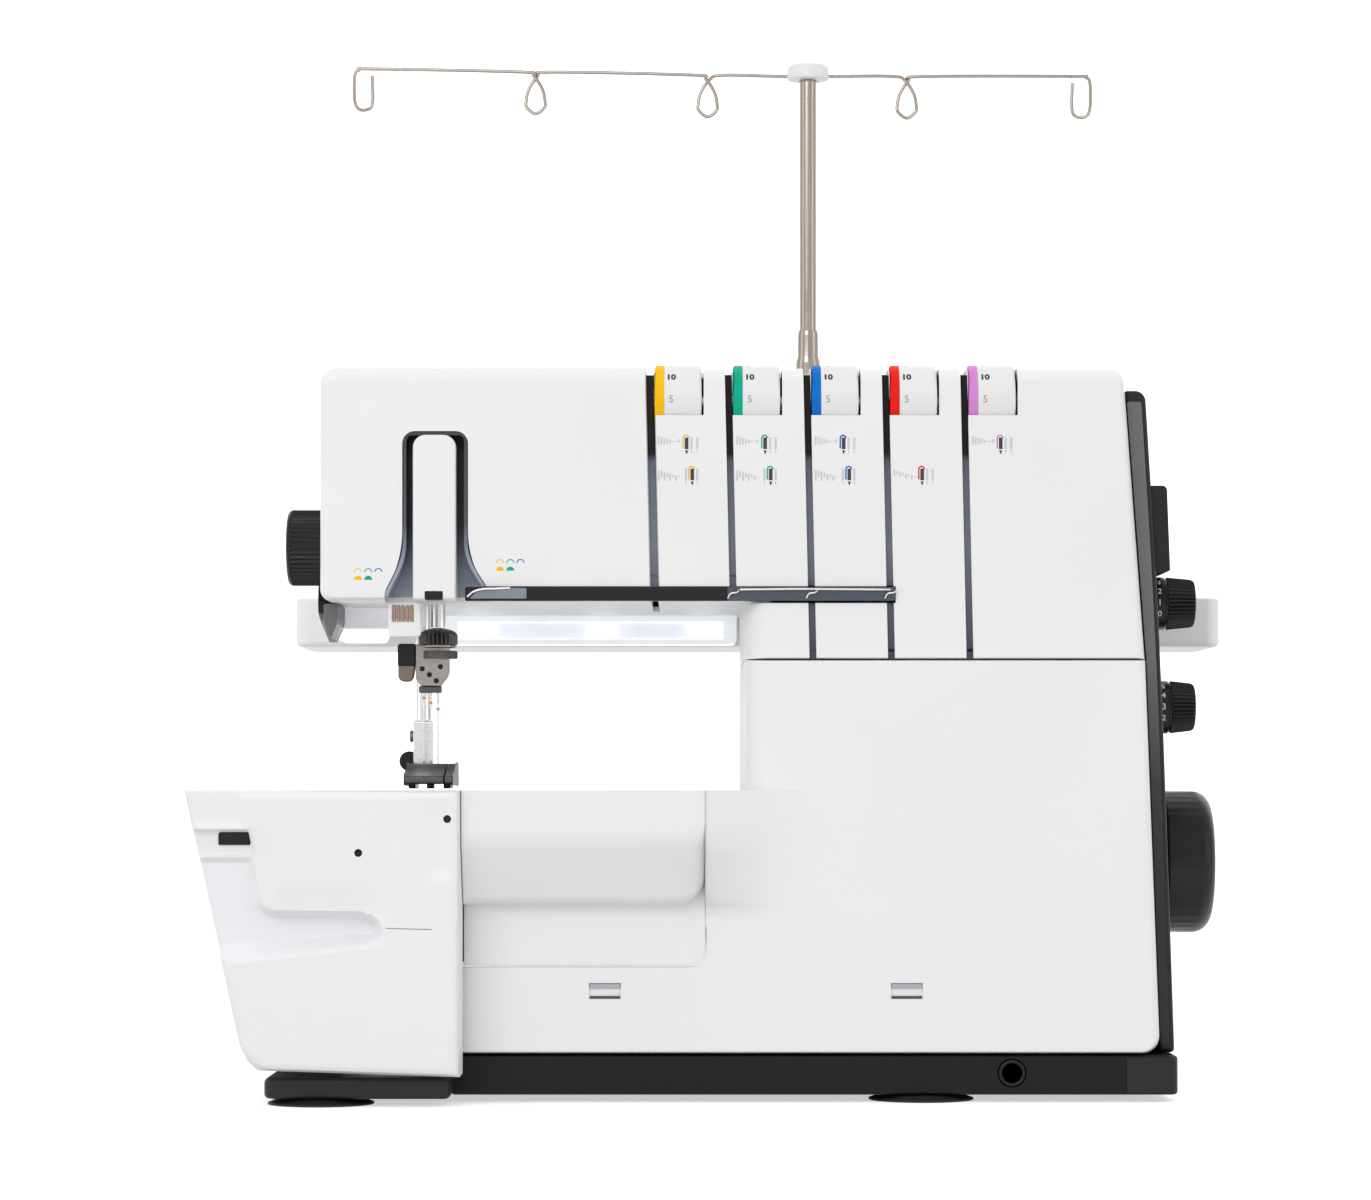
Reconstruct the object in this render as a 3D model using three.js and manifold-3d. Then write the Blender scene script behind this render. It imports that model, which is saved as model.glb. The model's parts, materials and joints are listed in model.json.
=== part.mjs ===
// A household overlock (serger) and coverstitch sewing machine with five thread channels, in millimetres.
// +X points to the handwheel side, -Y to the sewer, +Z up. The origin is the middle of its box, on the table.
import * as THREE from "three";
import { mergeVertices } from "three/addons/utils/BufferGeometryUtils.js";
import Module from "manifold-3d";

// Walls and clearances
const WALL = 2.6;
const GAP = 0.4;

// Planes from front to back
const TABLE_FRONT = -175;
const POD_FRONT = -166;
const LOWER_FACE = -138;
const UPPER_FACE = -134;
const BED_FRONT = -135;
const SHELL_SEAM = -12;
const REAR_FACE = 70;
const TRAY_FRONT = 76;
const TRAY_BACK = 175;

// Heights
const BASE_BOTTOM = 3.5;
const BASE_TOP = 22.2;
const LEFT_BASE_TOP = 13.5;
const COVER_BOTTOM = 22.9;
const DOOR_BOTTOM = 65;
const FREE_ARM_BOTTOM = 60;
const BED_TOP = 150;
const COVER_SEAM = 212.6;
const ARM_BOTTOM = 241;
const BODY_TOP = 354;
const TRAY_BOTTOM = 226;
const TRAY_TOP = 252;

// Places from left to right
const TABLE_LEFT = -260.6;
const TABLE_RIGHT = -130.4;
const HEAD_LEFT = -200;
const FREE_ARM_LEFT = -186;
const COVER_LEFT = -132.9;
const DOOR_RIGHT = -13.8;
const THROAT_RIGHT = 5;
const THROAT_ROUND = 12.4;
const RIGHT_AT_BOTTOM = 205.5;
const RIGHT_AT_SEAM = 198.5;
const RIGHT_AT_TOP = 188;
const TRAY_LEFT = -231;
const TRAY_RIGHT = 260.6;

// Tension section: five thread channels, each with a dial on its right
const CHANNELS = 5;
const CHANNEL_PITCH = 37.8;
const CHANNEL_X = -39.7;
const CHANNEL_MIDDLE = 300;
const CHANNEL_LEAN = 0.022;
const CHANNEL_HALF = 1.7;
const DIAL_RADIUS = 18;
const DIAL_WIDTH = 22.6;
const DIAL_Y = -117;
const DIAL_Z = 338;
const AXLE_RADIUS = 3;

// Stitching line
const NEEDLE_BAR = [-144.7, -97];
const NEEDLES_X = { left: -151.8, middle: -148.4, right: -144.9 };
const PRESSER_BAR = [-152.8, -84];
const BAR_RADIUS = 3.6;
const CLAMP_BOTTOM = 197.5;
const DOME_BOTTOM = 221;
const DOME_TOP = 229.4;
const NEEDLE_TIP = 162;
const ANKLE_TOP = 184.3;

// Drive
const SHAFT = [-40, 114];
const SHAFT_RADIUS = 6;
const WHEEL_RADIUS = 35.5;
const WHEEL_INNER = 214;
const WHEEL_OUTER = 240;
const SIDE_DIAL_Y = -75;
const SIDE_DIAL_RADIUS = 13.1;
const SIDE_DIAL_OUTER = 228.2;
const STITCH_LENGTH_Z = 191;
const DIFFERENTIAL_Z = 242.3;
const PRESSURE_DIAL = [-95, 268.7];
const PRESSURE_RADIUS = 18.6;
const LEVER_PIVOT = [-40, 246];

// Thread stand
const MAST = [41.7, 86];
const MAST_TUBE = 4.5;
const MAST_SLEEVE_TOP = 395;
const MAST_TOP = 528;
const CAP_RADIUS = 11.2;
const CAP_TOP = 536.4;
const WIRE_RADIUS = 1;
const WIRE_Z = 530.6;
const WIRE_RISE = 4.2;
const EYES_X = [-195, -103.6, -11.8, 94.5, 187.1];
const PIN_Y = 130;
const PIN_TOP = 330;

// Feet
const FOOT_RADIUS = 25.5;
const FEET = {
  front_left: [-197.9, -147],
  front_right: [90.6, -118],
  rear_left: [-190, 8],
  rear_right: [176, 38],
};

const wasm = await Module();
wasm.setup();

// ---------------------------------------------------------------- solids

// A closed three.js geometry as a solid, with its faces pointing out.
function solid(geometry) {
  geometry.deleteAttribute("normal");
  geometry.deleteAttribute("uv");
  const merged = mergeVertices(geometry, 1e-4);
  const index = merged.index.array;
  const faces = [];
  for (let i = 0; i < index.length; i += 3) {
    const [a, b, c] = index.subarray(i, i + 3);
    if (a !== b && b !== c && c !== a) faces.push(a, b, c);
  }
  const build = (triVerts) =>
    new wasm.Manifold(
      new wasm.Mesh({
        numProp: 3,
        vertProperties: new Float32Array(merged.attributes.position.array),
        triVerts: new Uint32Array(triVerts),
      }),
    );
  const made = build(faces);
  return made.volume() < 0 ? build(faces.reverse()) : made;
}

const join = (first, ...rest) => rest.reduce((sum, next) => sum.add(next), first);
const cut = (first, ...rest) => rest.reduce((left, next) => left.subtract(next), first);

function toward([x, y], [toX, toY], distance) {
  const share = distance / Math.hypot(toX - x, toY - y);
  return [x + (toX - x) * share, y + (toY - y) * share];
}

// A closed outline through [x, y, corner radius] points, anticlockwise.
function outline(points) {
  const shape = new THREE.Shape();
  points.forEach(([x, y, radius = 0], i) => {
    const before = points.at(i - 1);
    const after = points[(i + 1) % points.length];
    const start = toward([x, y], before, radius);
    if (i === 0) shape.moveTo(...start);
    else shape.lineTo(...start);
    if (radius > 0) shape.quadraticCurveTo(x, y, ...toward([x, y], after, radius));
  });
  shape.closePath();
  return shape;
}

// The same outline moved inwards by one distance.
function inset(points, distance) {
  return points.map(([x, y, radius = 0], i) => {
    const [ax, ay] = points.at(i - 1);
    const [bx, by] = points[(i + 1) % points.length];
    const one = new THREE.Vector2(ay - y, x - ax).normalize();
    const two = new THREE.Vector2(y - by, bx - x).normalize();
    const step = distance / (1 + one.dot(two));
    return [x + step * (one.x + two.x), y + step * (one.y + two.y), Math.max(radius - distance, 0)];
  });
}

const extrude = (points, depth, curveSegments = 4) =>
  new THREE.ExtrudeGeometry(outline(points), { depth, bevelEnabled: false, curveSegments });

// A front outline (x, z) from front to back.
const across = (points, front, back, steps) =>
  solid(extrude(points, back - front, steps).rotateX(Math.PI / 2).translate(0, back, 0));

// A side outline (y, z) from left to right.
function along(points, left, right, steps) {
  const turn = new THREE.Matrix4().makeBasis(
    new THREE.Vector3(0, 1, 0),
    new THREE.Vector3(0, 0, 1),
    new THREE.Vector3(1, 0, 0),
  );
  return solid(extrude(points, right - left, steps).applyMatrix4(turn).translate(left, 0, 0));
}

// A top outline (x, y) from below to above.
const upward = (points, bottom, top, steps) =>
  solid(extrude(points, top - bottom, steps).translate(0, 0, bottom));

function box(x0, x1, y0, y1, z0, z1) {
  const made = new THREE.BoxGeometry(x1 - x0, y1 - y0, z1 - z0);
  return solid(made.translate((x0 + x1) / 2, (y0 + y1) / 2, (z0 + z1) / 2));
}

// A [radius, height] profile turned about an upright axis or about an axis that runs to the right.
function turned(profile, axis, [a, b], segments = 20) {
  const points = profile.map(([radius, height]) => new THREE.Vector2(radius, height));
  const made = new THREE.LatheGeometry(points, segments);
  if (axis === "z") return solid(made.rotateX(Math.PI / 2).translate(a, b, 0));
  return solid(made.rotateZ(-Math.PI / 2).translate(0, a, b));
}

const rod = (axis, radius, from, to, centre, segments = 16) =>
  turned([[0, from], [radius, from], [radius, to], [0, to]], axis, centre, segments);

const rodAcross = (radius, front, back, x, z, segments = 16) =>
  solid(
    new THREE.CylinderGeometry(radius, radius, back - front, segments).translate(x, (front + back) / 2, z),
  );

// A cover with one face and side walls, open at its back.
function frontShell(points, front, back) {
  return cut(across(points, front, back), across(inset(points, WALL), front + WALL, back + 1));
}

// ---------------------------------------------------------------- materials and nodes

const FINISHES = {
  white: { color: 0xededee, roughness: 0.42, metalness: 0 },
  dark: { color: 0x2b2c31, roughness: 0.45, metalness: 0 },
  black: { color: 0x121214, roughness: 0.4, metalness: 0 },
  slate: { color: 0x353c49, roughness: 0.5, metalness: 0 },
  rubber: { color: 0x0d0d0e, roughness: 0.85, metalness: 0 },
  casting: { color: 0x9a9da2, roughness: 0.5, metalness: 0.9 },
  steel: { color: 0xc4c6c8, roughness: 0.22, metalness: 1 },
  nickel: { color: 0x9b9286, roughness: 0.25, metalness: 1 },
  lamp: { color: 0xffffff, roughness: 0.3, metalness: 0 },
};

const machine = new THREE.Group();

function assembly() {
  const group = new THREE.Group();
  machine.add(group);
  return group;
}

function geometryOf(made) {
  const { vertProperties, triVerts, numProp } = made.getMesh();
  const geometry = new THREE.BufferGeometry();
  const positions = new Float32Array((vertProperties.length / numProp) * 3);
  for (let i = 0; i < positions.length / 3; i += 1) {
    positions.set(vertProperties.subarray(i * numProp, i * numProp + 3), i * 3);
  }
  geometry.setAttribute("position", new THREE.BufferAttribute(positions, 3));
  geometry.setIndex(new THREE.BufferAttribute(triVerts, 1));
  geometry.computeVertexNormals();
  return geometry;
}

function node(group, name, made, finish, position = [0, 0, 0]) {
  const mesh = new THREE.Mesh(geometryOf(made), new THREE.MeshStandardMaterial(FINISHES[finish]));
  mesh.name = name;
  mesh.position.set(...position);
  group.add(mesh);
}

// ---------------------------------------------------------------- shared outlines

const channelX = (index, height) =>
  CHANNEL_X + CHANNEL_PITCH * index + CHANNEL_LEAN * (CHANNEL_MIDDLE - height);

const lowerCoverOutline = [
  [COVER_LEFT, COVER_BOTTOM],
  [RIGHT_AT_BOTTOM, COVER_BOTTOM, 10],
  [RIGHT_AT_SEAM, COVER_SEAM],
  [THROAT_RIGHT, COVER_SEAM],
  [THROAT_RIGHT, BED_TOP],
  [DOOR_RIGHT, BED_TOP],
  [DOOR_RIGHT, DOOR_BOTTOM, 7],
  [COVER_LEFT, DOOR_BOTTOM],
];

const upperCoverOutline = [
  [channelX(0, ARM_BOTTOM) + CHANNEL_HALF, ARM_BOTTOM],
  [THROAT_RIGHT, ARM_BOTTOM],
  [THROAT_RIGHT, COVER_SEAM + GAP],
  [RIGHT_AT_SEAM, COVER_SEAM + GAP],
  [RIGHT_AT_TOP, BODY_TOP, 7],
  [channelX(0, BODY_TOP) + CHANNEL_HALF, BODY_TOP],
];

const headOutline = [
  [HEAD_LEFT, ARM_BOTTOM, 7],
  [channelX(0, ARM_BOTTOM) - CHANNEL_HALF, ARM_BOTTOM],
  [channelX(0, BODY_TOP) - CHANNEL_HALF, BODY_TOP],
  [HEAD_LEFT, BODY_TOP, 6],
];

const rearOutline = [
  [COVER_LEFT, COVER_BOTTOM],
  [RIGHT_AT_BOTTOM, COVER_BOTTOM, 10],
  [RIGHT_AT_SEAM, COVER_SEAM],
  [RIGHT_AT_TOP, BODY_TOP, 7],
  [HEAD_LEFT, BODY_TOP, 6],
  [HEAD_LEFT, ARM_BOTTOM, 7],
  [THROAT_RIGHT, ARM_BOTTOM],
  [THROAT_RIGHT, BED_TOP],
  [FREE_ARM_LEFT, BED_TOP],
  [FREE_ARM_LEFT, FREE_ARM_BOTTOM],
  [COVER_LEFT, FREE_ARM_BOTTOM],
];

// The recess down the middle of the head: straight sides that flare out at the foot.
const RECESS_LEFT = -160;
const RECESS_RIGHT = -128.3;
const RECESS_TOP = 322.8;
const RECESS_FLOOR = -116;
const recessOutline = [
  [-168.7, ARM_BOTTOM - 1],
  [-118.7, ARM_BOTTOM - 1],
  [-118.7, 247],
  [RECESS_RIGHT, 262, 10],
  [RECESS_RIGHT, RECESS_TOP, 5],
  [RECESS_LEFT, RECESS_TOP, 5],
  [RECESS_LEFT, 262, 10],
  [-168.7, 245],
];

// The pod on the looper cover: an upright face that curls back under at its foot.
const POD_UPRIGHT = 129.6;
const POD_BOTTOM = 94.4;
function podOutline(back) {
  return [
    [POD_FRONT, BED_TOP],
    [POD_FRONT, POD_UPRIGHT],
    [POD_FRONT, POD_BOTTOM + 2, 26],
    [LOWER_FACE, POD_BOTTOM],
    [back, POD_BOTTOM],
    [back, BED_TOP],
  ];
}

// Rounds the front upright edge of the throat wall.
function throatRounding(face, bottom, top) {
  const corner = box(
    THROAT_RIGHT - 1, THROAT_RIGHT + THROAT_ROUND, face - 1, face + THROAT_ROUND, bottom, top,
  );
  const centre = [THROAT_RIGHT + THROAT_ROUND, face + THROAT_ROUND];
  return cut(corner, rod("z", THROAT_ROUND, bottom - 1, top + 1, centre, 32));
}

const throatPost = (face, bottom, top) =>
  box(THROAT_RIGHT + 0.1, THROAT_RIGHT + THROAT_ROUND + 4, face + 0.1, face + 18, bottom, top);

// ---------------------------------------------------------------- base and frame

function buildBase() {
  const group = assembly();
  const [leftX, leftY] = [-223.8, -168];
  const mainPlan = [
    [-136, LOWER_FACE], [213.4, LOWER_FACE, 5], [213.4, 66, 8], [-136, 66, 8],
  ];
  const leftPlan = [
    [leftX, leftY, 8], [-135, leftY, 4], [-135, 40], [leftX, 40, 8],
  ];
  const kneeHole = rodAcross(7, LOWER_FACE - 1, LOWER_FACE + 10, 133.3, 14);
  const stemHoles = Object.values(FEET).map((place) => rod("z", 6.4, 0, 10, place));
  const pan = cut(
    join(
      upward(mainPlan, BASE_BOTTOM, BASE_TOP),
      upward(leftPlan, BASE_BOTTOM, LEFT_BASE_TOP),
    ),
    upward(inset(mainPlan, 4), BASE_BOTTOM + 3.5, BASE_TOP + 1),
    upward(inset(leftPlan, 4), BASE_BOTTOM + 3.5, LEFT_BASE_TOP + 1),
    kneeHole,
    ...stemHoles,
  );
  node(group, "base_pan", pan, "dark");

  const footProfile = [
    [0, 0], [FOOT_RADIUS, 0], [FOOT_RADIUS, 0.8], [20, 3.1], [6, 3.1], [6, 6.8], [0, 6.8],
  ];
  const foot = turned(footProfile, "z", [0, 0], 20);
  for (const [place, [x, y]] of Object.entries(FEET)) {
    node(group, `foot_${place}`, foot, "rubber", [x, y, 0]);
  }

  const socket = cut(
    rodAcross(6.6, LOWER_FACE - 0.6, LOWER_FACE + 18, 133.3, 14),
    rodAcross(4.4, LOWER_FACE - 2, LOWER_FACE + 15, 133.3, 14),
  );
  node(group, "knee_lift_socket", socket, "black");
}

function buildFrame() {
  const group = assembly();
  const front = SHELL_SEAM + 4;
  const back = 50;
  const casting = cut(
    join(
      box(-120, 186, -118, back, 26, 34),
      box(60, 150, front, back, 33, 300),
      box(-175, 150, front, back, 262, 300),
      box(-178, 61, front, back, 100, 140),
      box(-168, -130, -110, front + 1, 250, 300),
      box(-95, -60, -118, front + 1, 67, 72),
      box(-95, -60, front - 6, front + 1, 67, 101),
      box(60, 74, -60, front + 1, 95, 133),
      box(136, 150, -60, front + 1, 95, 133),
      box(139, 143, -124, front + 1, 290, 346),
      box(-60, -56, -124, front + 1, 290, 346),
      box(-175, -56, front - 3, front + 1, 280, 300),
    ),
    rod("x", SHAFT_RADIUS + GAP, 50, 160, SHAFT),
    rod("x", AXLE_RADIUS + GAP, -70, 150, [DIAL_Y, DIAL_Z]),
    rod("z", BAR_RADIUS + GAP, 240, 310, NEEDLE_BAR),
    rod("z", BAR_RADIUS + GAP, 240, 310, PRESSER_BAR),
  );
  node(group, "frame_casting", casting, "casting");

  const motor = turned(
    [[0, 85], [18, 85], [24, 90], [24, 145], [18, 150], [8, 150], [8, 165], [0, 165]],
    "x", [-90, 60], 20,
  );
  node(group, "motor", motor, "black");
}

// ---------------------------------------------------------------- covers

function buildLowerCover(group) {
  const slots = [-62.3, 82.8].map((x) => box(x - 7.7, x + 7.7, LOWER_FACE - 1, -130, 49.6, 57.3));
  const shoulder = [
    [DOOR_RIGHT, POD_FRONT + 2],
    [-8, -148, 12],
    [34, LOWER_FACE],
    [34, -130],
    [DOOR_RIGHT, -130],
  ];
  const blend = upward(shoulder, POD_BOTTOM, BED_TOP, 8).intersect(
    along(podOutline(-130), DOOR_RIGHT, 40, 6),
  );
  const cover = cut(
    join(
      frontShell(lowerCoverOutline, LOWER_FACE, SHELL_SEAM),
      throatPost(LOWER_FACE, BED_TOP - 2, COVER_SEAM - 0.1),
      blend,
    ),
    throatRounding(LOWER_FACE, BED_TOP, COVER_SEAM + 1),
    ...slots,
    rod("x", SHAFT_RADIUS + 1, 190, 210, SHAFT),
  );
  node(group, "lower_front_cover", cover, "white");
}

// One thread channel as a leaning slot through the front and the front of the top.
function channelCut(index, bottom) {
  const top = BODY_TOP + 2;
  const side = (height, sign) => channelX(index, height) + sign * CHANNEL_HALF;
  const slot = [
    [side(bottom, -1), bottom], [side(bottom, 1), bottom], [side(top, 1), top], [side(top, -1), top],
  ];
  const face = across(slot, UPPER_FACE - 1, UPPER_FACE + WALL + 1);
  const x = channelX(index, BODY_TOP);
  const overTop = box(
    x - CHANNEL_HALF, x + CHANNEL_HALF, UPPER_FACE - 1, UPPER_FACE + 70, BODY_TOP - WALL - 1, top,
  );
  return join(face, overTop);
}

const dialLeft = (index) => channelX(index, DIAL_Z) + CHANNEL_HALF + GAP;

function dialWindow(index) {
  const left = dialLeft(index) - GAP;
  const right = dialLeft(index) + DIAL_WIDTH + 1;
  return join(
    rod("x", DIAL_RADIUS + 0.6, left, right, [DIAL_Y, DIAL_Z], 32),
    box(left, right, UPPER_FACE - 2, DIAL_Y + 15, DIAL_Z, BODY_TOP + 2),
  );
}

const BAND_LEFT = -129.7;
const BAND_RIGHT = 77.2;
const BAND_TOP = 247.7;
const bandNotch = () =>
  box(BAND_LEFT - GAP, BAND_RIGHT + GAP, UPPER_FACE - 2, UPPER_FACE + 5, ARM_BOTTOM - 1, BAND_TOP + GAP);

function buildUpperCover(group) {
  const bottoms = [ARM_BOTTOM, ARM_BOTTOM, COVER_SEAM - 1, COVER_SEAM - 1, COVER_SEAM - 1];
  const channels = bottoms.slice(1).map((bottom, i) => channelCut(i + 1, bottom));
  const dials = bottoms.map((bottom, i) => dialWindow(i));
  const lining = box(-38, THROAT_RIGHT + THROAT_ROUND + 4, UPPER_FACE + 5, UPPER_FACE + 7, 242, 251);
  const cover = cut(
    join(
      frontShell(upperCoverOutline, UPPER_FACE, SHELL_SEAM),
      throatPost(UPPER_FACE, COVER_SEAM + GAP + 0.1, ARM_BOTTOM + WALL),
      lining,
    ),
    throatRounding(UPPER_FACE, COVER_SEAM - 1, ARM_BOTTOM),
    ...channels,
    ...dials,
    bandNotch(),
    box(-50, -25, UPPER_FACE + 12, SHELL_SEAM - 6, 262, 348),
    box(-50, -30, UPPER_FACE + WALL, UPPER_FACE + WALL + 3, BAND_TOP, BODY_TOP - WALL),
  );
  node(group, "upper_cover", cover, "white");

  const plateFront = UPPER_FACE + WALL + GAP;
  const dialRooms = bottoms.map((bottom, i) =>
    box(dialLeft(i) - 0.5, dialLeft(i) + DIAL_WIDTH + 1, -140, -90, 320, BODY_TOP),
  );
  const plate = cut(
    box(-47, 150, plateFront, plateFront + 2, COVER_SEAM + 4, BODY_TOP - 4),
    ...dialRooms,
    box(-50, THROAT_RIGHT + THROAT_ROUND + 5, -140, -120, 200, BAND_TOP + 5),
    box(-50, BAND_RIGHT + 1, -140, -120, ARM_BOTTOM - 1, BAND_TOP + 1),
  );
  node(group, "thread_channel_plate", plate, "slate");
}

function buildHeadCover(group) {
  const cover = cut(
    frontShell(headOutline, UPPER_FACE, SHELL_SEAM),
    across(recessOutline, UPPER_FACE - 1, RECESS_FLOOR + 4),
    bandNotch(),
    box(-172, -126, -122, -74, 230, ARM_BOTTOM + WALL + 1),
    box(-60, -30, UPPER_FACE + 3, SHELL_SEAM - 6, 246, 350),
    rod("x", 4.6, -210, -190, PRESSURE_DIAL),
    rod("x", 4.6, -210, -190, LEVER_PIVOT),
  );
  node(group, "head_cover", cover, "white");

  const lined = inset(recessOutline, GAP);
  const liner = cut(
    across(lined, UPPER_FACE + 0.6, RECESS_FLOOR + 2),
    across(inset(lined, 1.5), UPPER_FACE - 1, RECESS_FLOOR),
    box(-172, -110, -140, -110, 230, ARM_BOTTOM + 2.4),
    box(-130.1, -110, -140, -128.5, 230, 248.1),
  );
  node(group, "head_recess_liner", liner, "slate");

  const guard = across(
    [[-154.8, 241.5], [-134.1, 241.5], [-134.1, 320.9, 5], [-154.8, 320.9, 5]],
    UPPER_FACE - 2.5,
    RECESS_FLOOR - GAP,
  );
  node(group, "take_up_guard", cut(guard, box(-149, -140.3, -140, -128, 240, 245.3)), "white");
}

function buildCovers() {
  const group = assembly();
  buildLowerCover(group);
  buildUpperCover(group);
  buildHeadCover(group);

  const rear = cut(
    across(rearOutline, SHELL_SEAM + GAP, REAR_FACE),
    across(inset(rearOutline, WALL), SHELL_SEAM - 1, REAR_FACE - WALL),
  );
  node(group, "rear_cover", rear, "white");

  const band = box(BAND_LEFT, BAND_RIGHT, UPPER_FACE - 1.5, UPPER_FACE + 4, ARM_BOTTOM, BAND_TOP);
  node(group, "thread_guide_band", band, "black");

  const bed = cut(
    box(FREE_ARM_LEFT, DOOR_RIGHT - GAP, BED_FRONT, SHELL_SEAM - GAP, FREE_ARM_BOTTOM, BED_TOP),
    box(FREE_ARM_LEFT + WALL, 0, -140, 0, FREE_ARM_BOTTOM + WALL, BED_TOP - 3),
    box(COVER_LEFT - GAP, 0, -140, 0, 50, BED_TOP - 2.9),
    box(-166.4, -127.6, -140, -64.6, BED_TOP - 4, BED_TOP + 1),
  );
  node(group, "bed_cover", bed, "white");
}

function buildEndCover() {
  const group = assembly();
  const ends = [
    [RIGHT_AT_BOTTOM + 0.5, COVER_BOTTOM],
    [213.4, COVER_BOTTOM],
    [200.2, 343.5, 5],
    [189.3, 343.5],
    [RIGHT_AT_SEAM + 0.6, COVER_SEAM],
  ];
  const hollow = [[200, 26], [210.6, 26], [197.8, 340.8], [180, 340.8], [190, 212]];
  const outer = across(ends, -122, REAR_FACE);
  const pad = across([[202, 256.5], [208.6, 256.5, 2], [206.8, 298, 2], [200, 298]], -116, -48);
  const cover = cut(
    join(cut(outer, across(hollow, -119.4, REAR_FACE - WALL)), pad),
    across([[195, 250], [201, 250], [199, 300], [190, 300]], -119.4, REAR_FACE - WALL),
    rod("x", SHAFT_RADIUS + 1, 190, 220, SHAFT),
    rod("x", 4.5, 190, 220, [SIDE_DIAL_Y, STITCH_LENGTH_Z]),
    rod("x", 4.5, 190, 220, [SIDE_DIAL_Y, DIFFERENTIAL_Z]),
    box(202, 216, 14, 46, 47, 73),
    box(202, 216, 20, 40, 84, 104),
  );
  node(group, "right_end_cover", cover, "dark");

  const inlet = cut(
    box(207.6, 211.6, 14.5, 45.5, 47.5, 72.5),
    box(209, 214, 19, 41, 52, 68),
  );
  node(group, "power_socket", inlet, "black");
}

// ---------------------------------------------------------------- lamp and thread parts under the arm

function buildUnderArm() {
  const group = assembly();
  const lamp = [-150, 3, 30, 62, 226, ARM_BOTTOM - GAP];
  const lampBar = cut(box(...lamp), box(-142, -4, 29, 36, 228.4, 237.6));
  node(group, "lamp_bar", lampBar, "white");
  const lenses = [-130.2, -67, -14.5].map((x) => box(x - 7.3, x + 7.3, 30.3, 34, 229.4, 236.2));
  node(group, "led_strip", join(box(-141.4, -4.6, 33.4, 35.6, 228.9, 237.1), ...lenses), "lamp");

  const teeth = [0, 1, 2, 3].map((i) => box(-165 + i * 3, -163.6 + i * 3, -126, -122, 222, 232));
  const comb = cut(box(-167.4, -151.5, -126, -123, 224, ARM_BOTTOM - GAP), ...teeth);
  node(group, "thread_comb", comb, "steel");

  const cutter = across(
    [[-199.6, 232], [-196.5, 223.5], [-193, 232], [-193, ARM_BOTTOM - GAP], [-199.6, ARM_BOTTOM - GAP]],
    -112, -66,
  );
  node(group, "thread_cutter", cutter, "casting");
}

// ---------------------------------------------------------------- tension dials

function buildTensionDials() {
  const group = assembly();
  const rim = DIAL_RADIUS;
  const profile = [
    [AXLE_RADIUS + 0.3, 0], [rim - 1, 0], [rim, 1], [rim, DIAL_WIDTH - 1], [rim - 1, DIAL_WIDTH],
    [AXLE_RADIUS + 0.3, DIAL_WIDTH], [AXLE_RADIUS + 0.3, 0],
  ];
  const drum = turned(profile, "x", [0, 0], 28);
  for (let i = 0; i < CHANNELS; i += 1) {
    node(group, `tension_dial_${i + 1}`, drum, "white", [dialLeft(i), DIAL_Y, DIAL_Z]);
  }
  node(group, "dial_axle", rod("x", AXLE_RADIUS, -61, 145, [DIAL_Y, DIAL_Z], 12), "steel");
}

// ---------------------------------------------------------------- needles and presser

const NEEDLE_SLOT = [-154.6, -142.2, -101.5, -92.5];

function buildNeedles() {
  const group = assembly();
  node(group, "needle_bar", rod("z", BAR_RADIUS, DOME_TOP + 0.3, 336, NEEDLE_BAR), "steel");

  const needleHoles = Object.values(NEEDLES_X).map((x) => rod("z", 1.25, 190, 212, [x, -97], 8));
  const clamp = cut(
    join(
      turned(
        [[0, DOME_BOTTOM], [9.5, DOME_BOTTOM], [9.5, 226], [6, DOME_TOP], [0, DOME_TOP]],
        "z", NEEDLE_BAR, 20,
      ),
      box(-155.7, -139, -103, -91, 200.5, DOME_BOTTOM + 1),
      box(-164.5, -155.6, -102, -93, 202.5, DOME_BOTTOM + 0.8),
      box(-154, -143, -101, -93, CLAMP_BOTTOM, 201),
    ),
    ...needleHoles,
  );
  node(group, "needle_clamp", clamp, "steel");

  const needle = turned(
    [[0, NEEDLE_TIP], [0.45, NEEDLE_TIP + 3], [0.45, 190], [0.85, 192], [0.85, 211], [0, 211]],
    "z", [0, 0], 8,
  );
  for (const [place, x] of Object.entries(NEEDLES_X)) {
    node(group, `needle_${place}`, needle, "steel", [x, -97, 0]);
  }
}

function buildPresser() {
  const group = assembly();
  node(group, "presser_bar", rod("z", BAR_RADIUS, ANKLE_TOP + 0.3, 322, PRESSER_BAR), "steel");

  const [slotLeft, slotRight, slotFront, slotBack] = NEEDLE_SLOT;
  const foot = cut(
    join(
      box(-157.7, -147.9, -89, -79, 156, ANKLE_TOP),
      box(-160.6, -135, -106, -76, 150.6, 160),
      along([[-128, 150.6], [-104, 150.6], [-104, 156], [-128, 153.2]], -160.6, -135),
      along([[-78, 150.6], [-66, 152.4], [-66, 154], [-78, 155]], -160.6, -135),
      box(-164.5, -157, -88, -82, 159, 169.6),
    ),
    box(slotLeft, slotRight, slotFront, slotBack, 145, 165),
  );
  node(group, "presser_foot", foot, "steel");

  const lever = join(
    rod("x", 4, -208, -194, LEVER_PIVOT, 12),
    along([[-48, 240, 5], [-36, 236, 3], [24, 226, 3], [25, 234, 3], [-34, 252, 5], [-46, 254, 5]], -208, -204),
  );
  node(group, "presser_lever", lever, "black");
}

// ---------------------------------------------------------------- needle plate, feed, loopers and knife

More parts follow.
